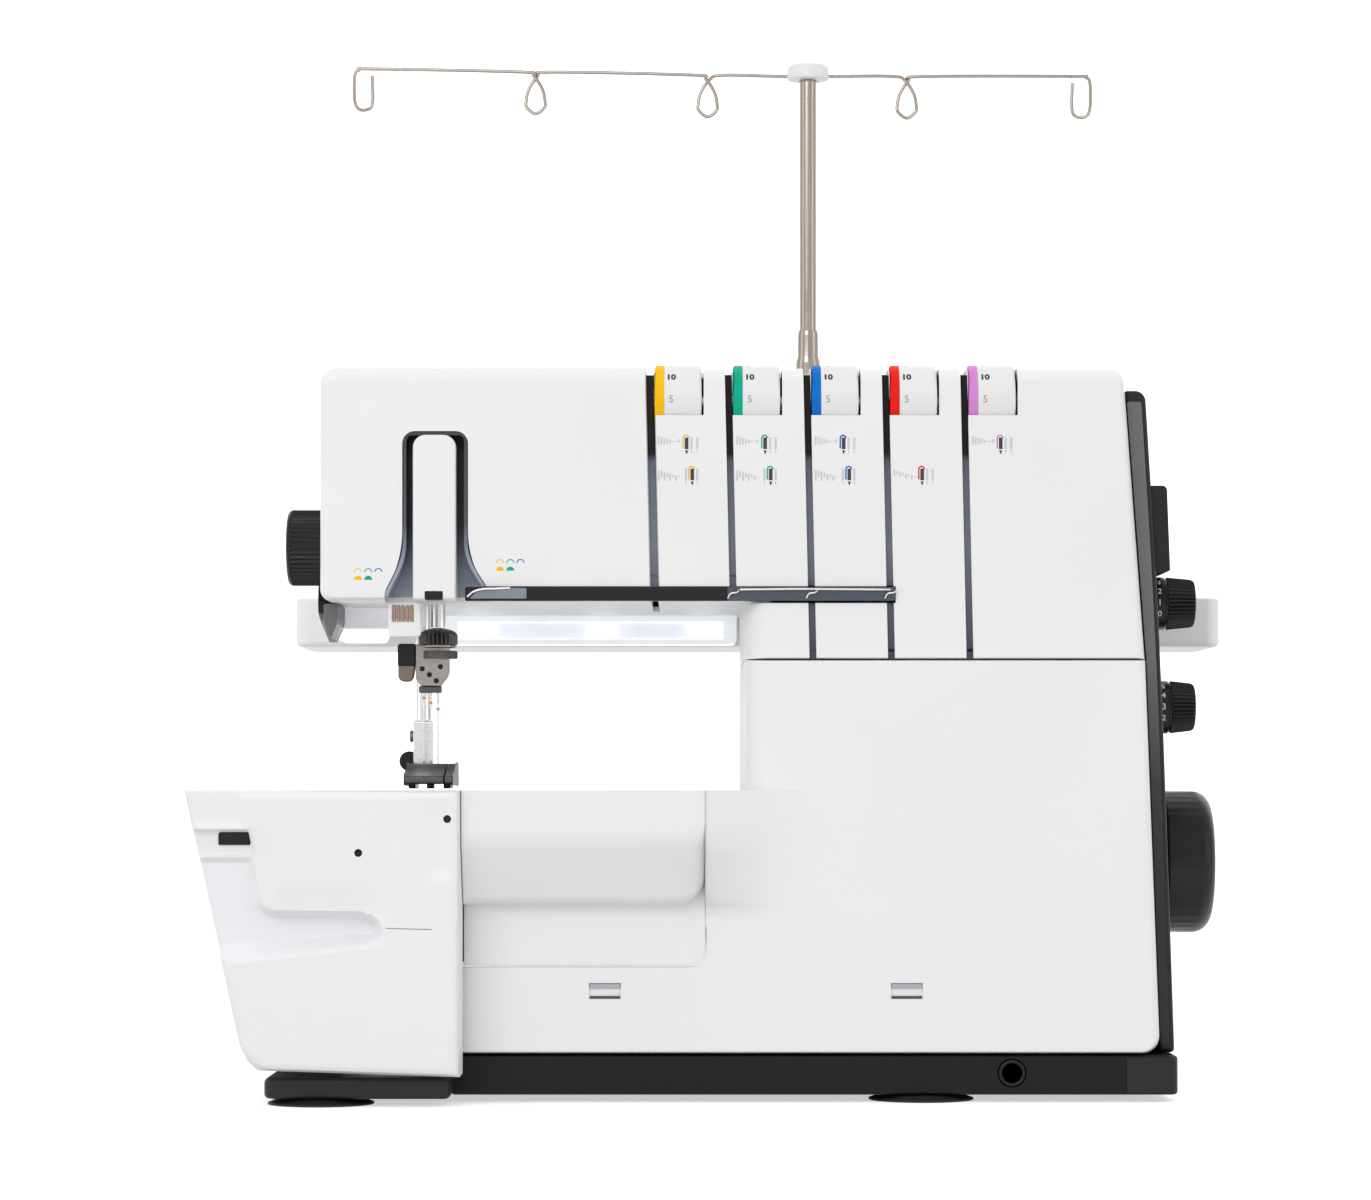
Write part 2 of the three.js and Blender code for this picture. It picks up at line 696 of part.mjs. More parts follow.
function buildLooperBay() {
  const group = assembly();
  const [slotLeft, slotRight, slotFront, slotBack] = NEEDLE_SLOT;
  const plate = cut(
    box(-166, -128, -134.8, -65, BED_TOP - 3, BED_TOP),
    box(-157, -139, -118, -75, 140, 160),
  );
  node(group, "needle_plate", plate, "steel");

  const teeth = Array.from({ length: 9 }, (_, i) =>
    box(-156, -139, -110.6 + i * 3.6, -108.8 + i * 3.6, BED_TOP - 1.2, BED_TOP + 1),
  );
  const feedDog = cut(
    box(-155.8, -140.2, -113, -80, 141, BED_TOP - 0.2),
    box(slotLeft, slotRight, slotFront, slotBack, 130, 165),
    ...teeth,
  );
  node(group, "feed_dog", feedDog, "casting");

  const lower = across(
    [[-93, 74], [-80, 74, 4], [-80, 84, 5], [-88, 96, 8], [-100, 124, 10], [-140, 132, 3], [-143, 128],
      [-108, 116, 8], [-97, 92, 8]],
    -108, -104,
  );
  node(group, "lower_looper", lower, "steel");
  const upper = across(
    [[-72, 78], [-60, 78, 4], [-60, 88, 5], [-70, 104, 8], [-84, 134, 12], [-124, 141, 3], [-127, 138],
      [-92, 122, 8], [-78, 98, 8]],
    -116, -112,
  );
  node(group, "upper_looper", upper, "steel");

  const knife = along([[-131, 141], [-131, 106], [-127, 97, 3], [-119, 97, 3], [-119, 141]], -121.5, -119);
  node(group, "upper_knife", knife, "steel");
}

// ---------------------------------------------------------------- looper cover and side table

function buildLooperCover() {
  const group = assembly();
  const left = TABLE_RIGHT + 0.6;
  const right = DOOR_RIGHT - GAP;
  const podFace = [
    [left, POD_BOTTOM], [right, POD_BOTTOM, 14], [right, BED_TOP], [left, BED_TOP],
  ];
  const pod = along(podOutline(LOWER_FACE + WALL), left, right, 6).intersect(
    across(podFace, POD_FRONT - 1, LOWER_FACE + WALL),
  );
  const hollow = along(
    [
      [POD_FRONT + WALL, BED_TOP - WALL],
      [POD_FRONT + WALL, POD_BOTTOM + 4, 22],
      [LOWER_FACE, POD_BOTTOM + 3],
      [LOWER_FACE + 9, POD_BOTTOM + 3],
      [LOWER_FACE + 9, BED_TOP - WALL],
    ],
    left + WALL, right - WALL, 6,
  ).intersect(across(inset(podFace, WALL), POD_FRONT - 1, 0));
  const door = across(
    [
      [left, DOOR_BOTTOM + 2 * GAP], [right, DOOR_BOTTOM + 2 * GAP, 10], [right, BED_TOP], [left, BED_TOP],
    ],
    LOWER_FACE, LOWER_FACE + WALL,
  );
  node(group, "looper_cover", cut(join(pod, door), hollow), "white");
}

const SCOOP_DEPTH = 12;

function buildSideTable() {
  const group = assembly();
  const back = 34;
  const face = [
    [-234, 27, 4], [-226, 17.4, 4], [TABLE_RIGHT, 14.3], [TABLE_RIGHT, BED_TOP], [TABLE_LEFT, BED_TOP],
  ];
  const room = [
    [-230.8, 10], [TABLE_RIGHT - WALL, 10], [TABLE_RIGHT - WALL, BED_TOP - WALL],
    [TABLE_LEFT + 3.4, BED_TOP - WALL], [-231.4, 30],
  ];
  const pocket = (grow) => box(-189 - grow, -100, -143 - grow, back + 1, 0, 160);
  const hollow = cut(across(room, TABLE_FRONT + WALL, back - WALL), pocket(WALL));
  const scoop = [[-217, 70, 5], [-168, 74, 7], [-166, 90, 7], [-206, 92, 6], [-219, 84, 4]];
  const scoopWall = across(inset(scoop, -WALL), TABLE_FRONT + 1, TABLE_FRONT + SCOOP_DEPTH + WALL);
  const recess = across(scoop, TABLE_FRONT - 1, TABLE_FRONT + SCOOP_DEPTH);
  const slot = box(-244.5, -229.5, TABLE_FRONT - 1, TABLE_FRONT + 6, 124, 130.2);
  const holes = [[-178, 120.3], [-136.1, 136.3]].map(([x, z]) =>
    rodAcross(1.9, TABLE_FRONT - 1, TABLE_FRONT + 6, x, z, 10),
  );
  const shell = cut(across(face, TABLE_FRONT, back), pocket(0), hollow);
  const table = cut(join(shell, scoopWall), recess, slot, ...holes);
  node(group, "side_table", table, "white");
}

// ---------------------------------------------------------------- controls on the two ends

function buildControls() {
  const group = assembly();
  const wheel = turned(
    [
      [SHAFT_RADIUS + 0.3, 211.4], [13, 211.4], [13, WHEEL_INNER], [WHEEL_RADIUS - 2, WHEEL_INNER],
      [WHEEL_RADIUS, WHEEL_INNER + 3], [WHEEL_RADIUS, WHEEL_OUTER - 8], [WHEEL_RADIUS - 2, WHEEL_OUTER - 3],
      [WHEEL_RADIUS - 7, WHEEL_OUTER], [20, WHEEL_OUTER - 1], [0, WHEEL_OUTER - 1.6], [0, 226],
      [SHAFT_RADIUS + 0.3, 226], [SHAFT_RADIUS + 0.3, 211.4],
    ],
    "x", SHAFT, 32,
  );
  node(group, "handwheel", wheel, "black");
  const shaft = turned(
    [[0, 56], [SHAFT_RADIUS, 56], [SHAFT_RADIUS, 84], [16, 84], [16, 96], [SHAFT_RADIUS, 96],
      [SHAFT_RADIUS, 225], [0, 225]],
    "x", SHAFT, 20,
  );
  node(group, "main_shaft", shaft, "steel");

  const sideDial = (inner, stemEnd) => [
    [0, stemEnd], [4, stemEnd], [4, inner], [SIDE_DIAL_RADIUS, inner], [SIDE_DIAL_RADIUS, inner + 8],
    [SIDE_DIAL_RADIUS - 1.5, SIDE_DIAL_OUTER - 1.5], [SIDE_DIAL_RADIUS - 3, SIDE_DIAL_OUTER],
    [0, SIDE_DIAL_OUTER],
  ];
  const lengthDial = turned(sideDial(208.4, 202.5), "x", [SIDE_DIAL_Y, STITCH_LENGTH_Z], 24);
  node(group, "stitch_length_dial", lengthDial, "black");
  const feedDial = turned(sideDial(206.4, 199.5), "x", [SIDE_DIAL_Y, DIFFERENTIAL_Z], 24);
  node(group, "differential_dial", feedDial, "black");

  const pressure = turned(
    [[0, -218.2], [PRESSURE_RADIUS - 3, -218.2], [PRESSURE_RADIUS, -216], [PRESSURE_RADIUS, -202],
      [PRESSURE_RADIUS - 1, HEAD_LEFT - GAP], [4, HEAD_LEFT - GAP], [4, -192], [0, -192]],
    "x", PRESSURE_DIAL, 28,
  );
  node(group, "pressure_dial", pressure, "black");

  const rocker = along([[20.6, 84.6, 1], [39.4, 84.6, 1], [39.4, 103.4, 1], [20.6, 103.4, 1]], 207, 211.2);
  node(group, "power_switch", rocker, "black");
}

// ---------------------------------------------------------------- spool tray and thread stand

function buildTray() {
  const group = assembly();
  const plan = [
    [TRAY_LEFT, TRAY_FRONT, 8], [TRAY_RIGHT, TRAY_FRONT, 8], [TRAY_RIGHT, TRAY_BACK, 14], [TRAY_LEFT, TRAY_BACK, 14],
  ];
  const tray = cut(
    join(
      upward(plan, TRAY_BOTTOM, TRAY_TOP),
      box(-80, -40, REAR_FACE + GAP, TRAY_FRONT + 1, 228, 240),
      box(100, 140, REAR_FACE + GAP, TRAY_FRONT + 1, 228, 240),
    ),
    upward(inset(plan, 3), TRAY_BOTTOM + 3, TRAY_TOP + 1),
  );
  node(group, "spool_tray", tray, "white");

  const floor = TRAY_BOTTOM + 3 + 0.3;
  const pin = turned(
    [[0, floor], [17, floor], [17, floor + 3], [6, floor + 4], [5, floor + 14], [3, floor + 16],
      [3, PIN_TOP - 2], [2, PIN_TOP], [0, PIN_TOP]],
    "z", [0, 0], 14,
  );
  EYES_X.forEach((x, i) => node(group, `spool_pin_${i + 1}`, pin, "steel", [x, PIN_Y, 0]));

  const sleeve = turned(
    [[0, floor], [6.6, floor], [6.6, 378], [5.6, 381], [5.6, MAST_SLEEVE_TOP], [4.85, MAST_SLEEVE_TOP],
      [4.85, floor + 3], [0, floor + 3]],
    "z", MAST, 20,
  );
  node(group, "mast_sleeve", sleeve, "nickel");
  node(group, "mast_tube", rod("z", MAST_TUBE, 376, MAST_TOP, MAST, 20), "nickel");

  const cap = turned(
    [[0, MAST_TOP + 0.3], [CAP_RADIUS - 1.5, MAST_TOP + 0.3], [CAP_RADIUS, MAST_TOP + 1.8],
      [CAP_RADIUS, CAP_TOP - 2], [CAP_RADIUS - 2, CAP_TOP], [0, CAP_TOP]],
    "z", MAST, 28,
  );
  const wireHole = rod("x", WIRE_RADIUS + 0.35, MAST[0] - 20, MAST[0] + 20, [MAST[1], WIRE_Z], 10);
  node(group, "mast_cap", cut(cap, wireHole), "white");
}

// The route of the thread guide wire: a long loop at each end and three teardrop eyes between them.
function guideRoute() {
  const [firstEye, secondEye, thirdEye, fourthEye, lastEye] = EYES_X;
  const y = MAST[1];
  const lift = (x) => (x < MAST[0] - 15 ? (WIRE_RISE * (MAST[0] - 15 - x)) / 236 : 0);
  const route = [];
  const add = (x, z, step = 0) => route.push(new THREE.Vector3(x, y + step, z));
  const top = WIRE_Z + lift(firstEye);

  add(firstEye + 4.2, top - 3.2, 2.4);
  add(firstEye + 4.4, top - 17, 2.4);
  add(firstEye + 2.4, top - 21, 2.2);
  add(firstEye - 2.6, top - 21.4, 1.4);
  add(firstEye - 5, top - 17, 0.6);
  add(firstEye - 5, top - 4);
  add(firstEye - 2.6, top - 0.6);
  add(firstEye + 4, top);
  for (const eye of [secondEye, thirdEye, fourthEye]) {
    const line = WIRE_Z + lift(eye);
    add(eye - 8, line);
    add(eye - 1.2, line - 2, 0.4);
    add(eye + 3.6, line - 9, 1.2);
    add(eye + 5, line - 15, 1.4);
    for (const turn of [0, 1, 2]) {
      const angle = (-20 - 70 * turn) * (Math.PI / 180);
      add(eye + 5 * Math.cos(angle), line - 17 + 5 * Math.sin(angle), 1.6 + 0.2 * turn);
    }
    add(eye - 5, line - 15, 2.3);
    add(eye - 3.6, line - 9, 2.5);
    add(eye + 1.2, line - 2, 2.4);
    add(eye + 8, line, 0.6);
    if (eye === thirdEye) {
      add(MAST[0] - 15, WIRE_Z);
      add(MAST[0] + 15, WIRE_Z);
    }
  }
  add(lastEye - 4, WIRE_Z);
  add(lastEye + 2.6, WIRE_Z - 0.6);
  add(lastEye + 5, WIRE_Z - 4);
  add(lastEye + 5, WIRE_Z - 17, 0.6);
  add(lastEye + 2.6, WIRE_Z - 21.4, 1.4);
  add(lastEye - 2.4, WIRE_Z - 21, 2.2);
  add(lastEye - 4.4, WIRE_Z - 17, 2.4);
  add(lastEye - 4.2, WIRE_Z - 3.2, 2.4);
  return route;
}

// The wire runs straight between the points of its route, which lie close together round each eye.
function buildGuideWire() {
  const group = assembly();
  const section = new THREE.Shape();
  const sides = 6;
  for (let i = 0; i < sides; i += 1) {
    const angle = (i / sides) * 2 * Math.PI;
    const corner = [WIRE_RADIUS * Math.cos(angle), WIRE_RADIUS * Math.sin(angle)];
    if (i === 0) section.moveTo(...corner);
    else section.lineTo(...corner);
  }
  section.closePath();
  const route = guideRoute();
  const path = new THREE.CatmullRomCurve3(route, false, "centripetal");
  const wire = new THREE.ExtrudeGeometry(section, {
    steps: (route.length - 1) * 2,
    extrudePath: path,
    bevelEnabled: false,
  });
  node(group, "thread_guide_wire", solid(wire), "nickel");
}

buildBase();
buildFrame();
buildCovers();
buildEndCover();
buildUnderArm();
buildTensionDials();
buildNeedles();
buildPresser();
buildLooperBay();
buildLooperCover();
buildSideTable();
buildControls();
buildTray();
buildGuideWire();

export default machine;
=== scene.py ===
import json
import math
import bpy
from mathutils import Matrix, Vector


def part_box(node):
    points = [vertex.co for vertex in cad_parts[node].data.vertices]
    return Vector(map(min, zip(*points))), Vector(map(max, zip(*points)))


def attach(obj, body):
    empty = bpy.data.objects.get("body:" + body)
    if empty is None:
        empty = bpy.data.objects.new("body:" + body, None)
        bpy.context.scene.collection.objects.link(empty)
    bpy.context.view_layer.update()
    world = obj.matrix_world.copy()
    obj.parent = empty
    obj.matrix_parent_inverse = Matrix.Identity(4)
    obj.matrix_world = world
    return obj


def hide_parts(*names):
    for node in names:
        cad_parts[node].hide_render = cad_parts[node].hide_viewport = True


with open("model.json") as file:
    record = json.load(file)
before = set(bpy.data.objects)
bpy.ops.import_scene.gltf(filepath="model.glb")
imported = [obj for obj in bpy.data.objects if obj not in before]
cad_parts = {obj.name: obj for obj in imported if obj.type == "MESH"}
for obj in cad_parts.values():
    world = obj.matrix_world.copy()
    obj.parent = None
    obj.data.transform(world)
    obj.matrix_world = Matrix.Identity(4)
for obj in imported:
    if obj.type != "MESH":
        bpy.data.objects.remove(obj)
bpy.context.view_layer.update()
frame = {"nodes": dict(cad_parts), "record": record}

from types import SimpleNamespace

import bmesh
import bpy
from mathutils import Vector

# ------------------------------------------------------------------ the frame in millimetres

MM = 0.001
WALL = 2.6
GAP = 0.4


def node_box(name):
    low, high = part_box(name)
    x0, y0, z0 = (value / MM for value in low)
    x1, y1, z1 = (value / MM for value in high)
    return SimpleNamespace(x0=x0, y0=y0, z0=z0, x1=x1, y1=y1, z1=z1,
                           x=(x0 + x1) / 2, y=(y0 + y1) / 2, z=(z0 + z1) / 2)


BOX = {name: node_box(name) for name in frame["nodes"]}
BODY_OF = {node: body for body, nodes in frame["record"]["behaviour"]["bodies"].items() for node in nodes}
SLOT_OF = {entry["node"]: entry["material_slot"] for entry in frame["record"]["subparts"]}

HEAD = BOX["head_cover"]
UPPER = BOX["upper_cover"]
LOWER = BOX["lower_front_cover"]
REAR = BOX["rear_cover"]
POD = BOX["looper_cover"]
TABLE = BOX["side_table"]
BASE = BOX["base_pan"]
BAND = BOX["thread_guide_band"]
BED_TOP = BOX["bed_cover"].z1
LOWER_FACE = POD.y1 - WALL
THROAT_X = BOX["lamp_bar"].x1 + 2
THROAT_ROUND = 12.4
RIGHT_BOTTOM = LOWER.x1 + 0.4
RIGHT_SEAM = UPPER.x1
RIGHT_TOP = UPPER.x1 - 10.5
DIALS = [BOX[f"tension_dial_{i}"] for i in range(1, 6)]
CHANNEL_LEAN = 0.022
CHANNEL_HALF = 1.7
LATCH_PLACES = (-62.3, 82.8)
LED_PLACES = (-130.2, -67, -14.5)
LENS_HALF = 6.4
DIGIT_PLACE = 7.9
DIGIT_PITCH = 37.7
INK_LIFT = 0.02
END_DIALS = {"stitch_length_dial": 208.4, "differential_dial": 206.4}
END_DIAL_PITCH = 25


def channel_x(index, height):
    """The middle of a thread channel, which leans a little, at one height."""
    dial = DIALS[index]
    return dial.x0 - CHANNEL_HALF - GAP + CHANNEL_LEAN * (dial.z - height)


# ------------------------------------------------------------------ mesh tools

KAPPA = 0.5523
CORNER_STEPS = 8
EDGE_STEPS = 6
SHARP_ANGLE = math.radians(32)
BEVEL_ANGLE = math.radians(35)


def rounded(points, steps=CORNER_STEPS):
    """Samples an anticlockwise outline of (x, y, corner size) points."""
    path = []
    count = len(points)
    for i, point in enumerate(points):
        here = Vector(point[:2])
        size = point[2] if len(point) > 2 else 0
        if size <= 0:
            path.append(here)
            continue
        before = Vector(points[i - 1][:2]) - here
        after = Vector(points[(i + 1) % count][:2]) - here
        start = here + before.normalized() * min(size, before.length * 0.49)
        end = here + after.normalized() * min(size, after.length * 0.49)
        for step in range(steps + 1):
            t = step / steps
            one = start.lerp(here, KAPPA)
            two = end.lerp(here, KAPPA)
            path.append(start * (1 - t) ** 3 + one * 3 * t * (1 - t) ** 2
                        + two * 3 * t * t * (1 - t) + end * t ** 3)
    return path


def moved(points, amounts):
    """Moves each edge of an anticlockwise outline inwards by its own amount."""
    result = []
    count = len(points)
    for i, point in enumerate(points):
        x, y = point[:2]
        size = point[2] if len(point) > 2 else 0
        ax, ay = points[i - 1][:2]
        bx, by = points[(i + 1) % count][:2]
        one = Vector((ay - y, x - ax)).normalized()
        two = Vector((y - by, bx - x)).normalized()
        first, second = amounts[i - 1], amounts[i]
        cross = one.x * two.y - one.y * two.x
        if abs(cross) < 1e-6:
            shift = one * first
        else:
            shift = Vector(((first * two.y - second * one.y) / cross, (one.x * second - two.x * first) / cross))
        if size > 0:
            size = max(size - math.copysign((first + second) / 2, cross), 0.05)
        result.append((x + shift.x, y + shift.y, size))
    return result


def inset(points, amount):
    return moved(points, [amount] * len(points))


def placed(u, v, depth, axis):
    return {"x": (depth, u, v), "y": (u, depth, v), "z": (u, v, depth)}[axis]


def loft(rings):
    """A mesh through rings of 3-D points, all with the same number of points."""
    mesh = bmesh.new()
    rows = [[mesh.verts.new(Vector(point) * MM) for point in ring] for ring in rings]
    for low, high in zip(rows, rows[1:]):
        for i in range(len(low)):
            j = (i + 1) % len(low)
            mesh.faces.new((low[i], low[j], high[j], high[i]))
    mesh.faces.new(rows[0])
    mesh.faces.new(list(reversed(rows[-1])))
    bmesh.ops.recalc_face_normals(mesh, faces=mesh.faces)
    return mesh


def rect(x0, x1, z0, z1, low=0, high=0):
    """The outline of a rectangle; low and high are the corner sizes at its two ends in z."""
    return [(x0, z0, low), (x1, z0, low), (x1, z1, high), (x0, z1, high)]

def prism(points, low, high):
    path = rounded(points)
    return loft([[(p.x, depth, p.y) for p in path] for depth in (low, high)])


def block(x0, x1, y0, y1, z0, z1):
    return prism(rect(x0, x1, z0, z1), y0, y1)


def pillow(points, low, high, edge, axis="y", high_edge=None):
    """A prism with its end faces rounded off: edge on the low end, high_edge (or edge) on the high end."""
    other = edge if high_edge is None else high_edge
    rings = []
    for step in range(EDGE_STEPS + 1):
        angle = math.pi / 2 * step / EDGE_STEPS
        path = rounded(inset(points, edge * (1 - math.sin(angle))))
        rings.append([placed(p.x, p.y, low + edge * (1 - math.cos(angle)), axis) for p in path])
    for step in range(EDGE_STEPS + 1):
        angle = math.pi / 2 * (1 - step / EDGE_STEPS)
        path = rounded(inset(points, other * (1 - math.sin(angle))))
        rings.append([placed(p.x, p.y, high - other * (1 - math.cos(angle)), axis) for p in path])
    return loft(rings)


def shell(points, edges, face, back):
    """An open-backed cover. edges holds how far each edge of the outline rounds over towards the face."""
    depth = max(edges)
    rings = []

    def ring(outline, at):
        rings.append([(p.x, at, p.y) for p in rounded(outline)])

    for step in range(EDGE_STEPS + 1):
        angle = math.pi / 2 * step / EDGE_STEPS
        amounts = [edge * (1 - math.sin(angle)) for edge in edges]
        ring(moved(points, amounts), face + depth * (1 - math.cos(angle)))
    ring(points, back)
    inner = inset(points, WALL)
    ring(inner, back)
    ring(inner, face + max(depth, WALL))
    ring(moved(inner, edges), face + WALL)
    return loft(rings)


def lathe(profile, axis, centre, segments=64, ribs=None):
    """Turns (radius, height) points about an axis. ribs is (count, depth, first height, last height)."""
    rings = []
    a, b = centre
    for radius, height in profile:
        ring = []
        for i in range(segments):
            angle = 2 * math.pi * i / segments
            size = max(radius, 0.01)
            if ribs and ribs[2] <= height <= ribs[3]:
                size -= ribs[1] * (0.5 + 0.5 * math.cos(ribs[0] * angle))
            u, v = a + size * math.cos(angle), b + size * math.sin(angle)
            ring.append({"x": (height, u, v), "y": (u, height, v), "z": (u, v, height)}[axis])
        rings.append(ring)
    return loft(rings)


def spindle(radius, low, high, axis, centre, segments):
    """A plain round bar along an axis."""
    return lathe([(0, low), (radius, low), (radius, high), (0, high)], axis, centre, segments)

def arc(centre, radius, start, end, steps=6):
    """(radius, height) points on an arc of a lathe profile, with its angles in degrees."""
    angles = [math.radians(start + (end - start) * i / steps) for i in range(steps + 1)]
    return [(centre[0] + radius * math.cos(a), centre[1] + radius * math.sin(a)) for a in angles]


def tube(route, radius, sides=12):
    """A round wire along a route of 3-D points."""
    points = [Vector(p) for p in route]
    rings = []
    normal = Vector((0, 1, 0))
    for i, point in enumerate(points):
        forward = (points[min(i + 1, len(points) - 1)] - points[max(i - 1, 0)]).normalized()
        normal = (normal - forward * normal.dot(forward)).normalized()
        side = forward.cross(normal)
        ring = []
        for k in range(sides):
            angle = 2 * math.pi * k / sides
            ring.append(point + (normal * math.cos(angle) + side * math.sin(angle)) * radius)
        rings.append(ring)
    return loft(rings)


def smooth_route(points, steps=5):
    """Catmull-Rom points through a list of 3-D points."""
    points = [Vector(p) for p in points]
    padded = [points[0] * 2 - points[1], *points, points[-1] * 2 - points[-2]]
    route = []
    for a, b, c, d in zip(padded, padded[1:], padded[2:], padded[3:]):
        for step in range(steps):
            t = step / steps
            route.append(0.5 * (2 * b + (c - a) * t + (2 * a - 5 * b + 4 * c - d) * t * t
                                + (3 * b - a - 3 * c + d) * t ** 3))
    route.append(points[-1])
    return route


def merged(*meshes):
    """Several bmeshes as one."""
    total = bmesh.new()
    holder = bpy.data.meshes.new("part")
    for mesh in meshes:
        mesh.to_mesh(holder)
        total.from_mesh(holder)
        mesh.free()
    bpy.data.meshes.remove(holder)
    return total


def set_shading(mesh_data):
    mesh = bmesh.new()
    mesh.from_mesh(mesh_data)
    for face in mesh.faces:
        face.smooth = True
    for edge in mesh.edges:
        edge.smooth = len(edge.link_faces) == 2 and edge.calc_face_angle(0) < SHARP_ANGLE
    mesh.to_mesh(mesh_data)
    mesh.free()


def new_object(name, mesh):
    data = bpy.data.meshes.new(name)
    mesh.to_mesh(data)
    mesh.free()
    obj = bpy.data.objects.new(name, data)
    bpy.context.scene.collection.objects.link(obj)
    return obj


def bake_modifiers(obj):
    graph = bpy.context.evaluated_depsgraph_get()
    data = bpy.data.meshes.new_from_object(obj.evaluated_get(graph))
    old = obj.data
    obj.modifiers.clear()
    obj.data = data
    bpy.data.meshes.remove(old)


def boolean(obj, mesh, operation):
    tool = new_object("cutter", mesh)
    modifier = obj.modifiers.new("cut", "BOOLEAN")
    modifier.operation = operation
    modifier.solver = "EXACT"
    modifier.object = tool
    bake_modifiers(obj)
    data = tool.data
    bpy.data.objects.remove(tool)
    bpy.data.meshes.remove(data)


def carve(obj, *meshes):
    for mesh in meshes:
        boolean(obj, mesh, "DIFFERENCE")


def soften(obj, width):
    modifier = obj.modifiers.new("edges", "BEVEL")
    modifier.width = width * MM
    modifier.segments = 2
    modifier.limit_method = "ANGLE"
    modifier.angle_limit = BEVEL_ANGLE
    modifier.use_clamp_overlap = True
    bake_modifiers(obj)


def level_normals(obj):
    """Keeps large flat faces flat where they meet a rounded edge."""
    modifier = obj.modifiers.new("normals", "WEIGHTED_NORMAL")
    modifier.mode = "FACE_AREA"
    modifier.weight = 100
    modifier.keep_sharp = True


def piece(name, mesh, material, node, replaces=True, body=None):
    """A finished look for a node: it rides on the node's body and usually replaces the node."""
    obj = mesh if isinstance(mesh, bpy.types.Object) else new_object(name, mesh)
    obj.name = name
    set_shading(obj.data)
    level_normals(obj)
    obj.data.materials.clear()
    for entry in material if isinstance(material, (list, tuple)) else [material]:
        obj.data.materials.append(entry)
    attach(obj, body or BODY_OF[node])
    if replaces:
        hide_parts(node)
    return obj


def extra(name, mesh, material, node):
    """A further piece on a node's body, beside the one that replaces the node."""
    return piece(name, mesh, material, node, replaces=False)

def paint_faces(obj, index, test):
    """Gives the faces whose centre (in mm) passes the test another material of the object."""
    for polygon in obj.data.polygons:
        if test(polygon.center / MM):
            polygon.material_index = index


# ------------------------------------------------------------------ materials

def shader(name, roughness, metallic=0.0, shine=0.5):
    material = bpy.data.materials.new(name)
    material.use_nodes = True
    tree = material.node_tree
    surface = tree.nodes["Principled BSDF"]
    surface.inputs["Roughness"].default_value = roughness
    surface.inputs["Metallic"].default_value = metallic
    surface.inputs["Specular IOR Level"].default_value = shine
    return material, tree, surface


def noise(tree, scale, detail=3.0, stretch=None):
    coordinates = tree.nodes.new("ShaderNodeTexCoord")
    texture = tree.nodes.new("ShaderNodeTexNoise")
    texture.inputs["Scale"].default_value = scale
    texture.inputs["Detail"].default_value = detail
    source = coordinates.outputs["Object"]
    if stretch:
        mapping = tree.nodes.new("ShaderNodeMapping")
        mapping.inputs["Scale"].default_value = stretch
        tree.links.new(source, mapping.inputs["Vector"])
        source = mapping.outputs["Vector"]
    tree.links.new(source, texture.inputs["Vector"])
    return texture.outputs["Fac"]


def spread(tree, source, low, high):
    """Turns a 0..1 value into low..high."""
    ranged = tree.nodes.new("ShaderNodeMapRange")
    ranged.inputs["From Min"].default_value = 0.3
    ranged.inputs["From Max"].default_value = 0.7
    ranged.inputs["To Min"].default_value = low
    ranged.inputs["To Max"].default_value = high
    tree.links.new(source, ranged.inputs["Value"])
    return ranged.outputs["Result"]


def tinted(tree, source, colours):
    ramp = tree.nodes.new("ShaderNodeValToRGB")
    elements = ramp.color_ramp.elements
    while len(elements) < len(colours):
        elements.new(0.5)
    for element, (position, colour) in zip(elements, colours):
        element.position = position
        element.color = (*colour, 1)
    tree.links.new(source, ramp.inputs["Fac"])
    return ramp.outputs["Color"]


def bumped(tree, surface, source, height, strength=0.5):
    bump = tree.nodes.new("ShaderNodeBump")
    bump.inputs["Distance"].default_value = height * MM
    bump.inputs["Strength"].default_value = strength
    tree.links.new(source, bump.inputs["Height"])
    tree.links.new(bump.outputs["Normal"], surface.inputs["Normal"])


def scaled(colour, factor):
    return tuple(min(value * factor, 1.0) for value in colour)


def moulded(name, colour, roughness=0.4, grain=0.02, variation=0.02, grain_scale=2600, shine=0.5):
    """Moulded plastic: fine grain, faint flow marks in the colour and uneven gloss."""
    material, tree, surface = shader(name, roughness, shine=shine)
    flow = noise(tree, 9, 4)
    tint = tinted(tree, flow, [(0.3, scaled(colour, 1 - variation)), (0.7, scaled(colour, 1 + variation))])
    tree.links.new(tint, surface.inputs["Base Color"])
    smudge = noise(tree, 34, 5)
    tree.links.new(spread(tree, smudge, roughness - 0.05, roughness + 0.06), surface.inputs["Roughness"])
    bumped(tree, surface, noise(tree, grain_scale, 2), grain)
    return material


def metal(name, colour, roughness, stretch=(1, 1, 30), variation=0.12, scale=220):
    """Turned or ground metal: fine marks along one direction, uneven tone and gloss."""
    material, tree, surface = shader(name, roughness, 1.0)
    marks = noise(tree, scale, 4, stretch)
    tint = tinted(tree, marks, [(0.25, scaled(colour, 1 - variation)), (0.75, scaled(colour, 1 + variation))])
    tree.links.new(tint, surface.inputs["Base Color"])
    patches = noise(tree, 60, 5)
    tree.links.new(spread(tree, patches, roughness - 0.06, roughness + 0.1), surface.inputs["Roughness"])
    bumped(tree, surface, marks, 0.01, 0.35)
    return material


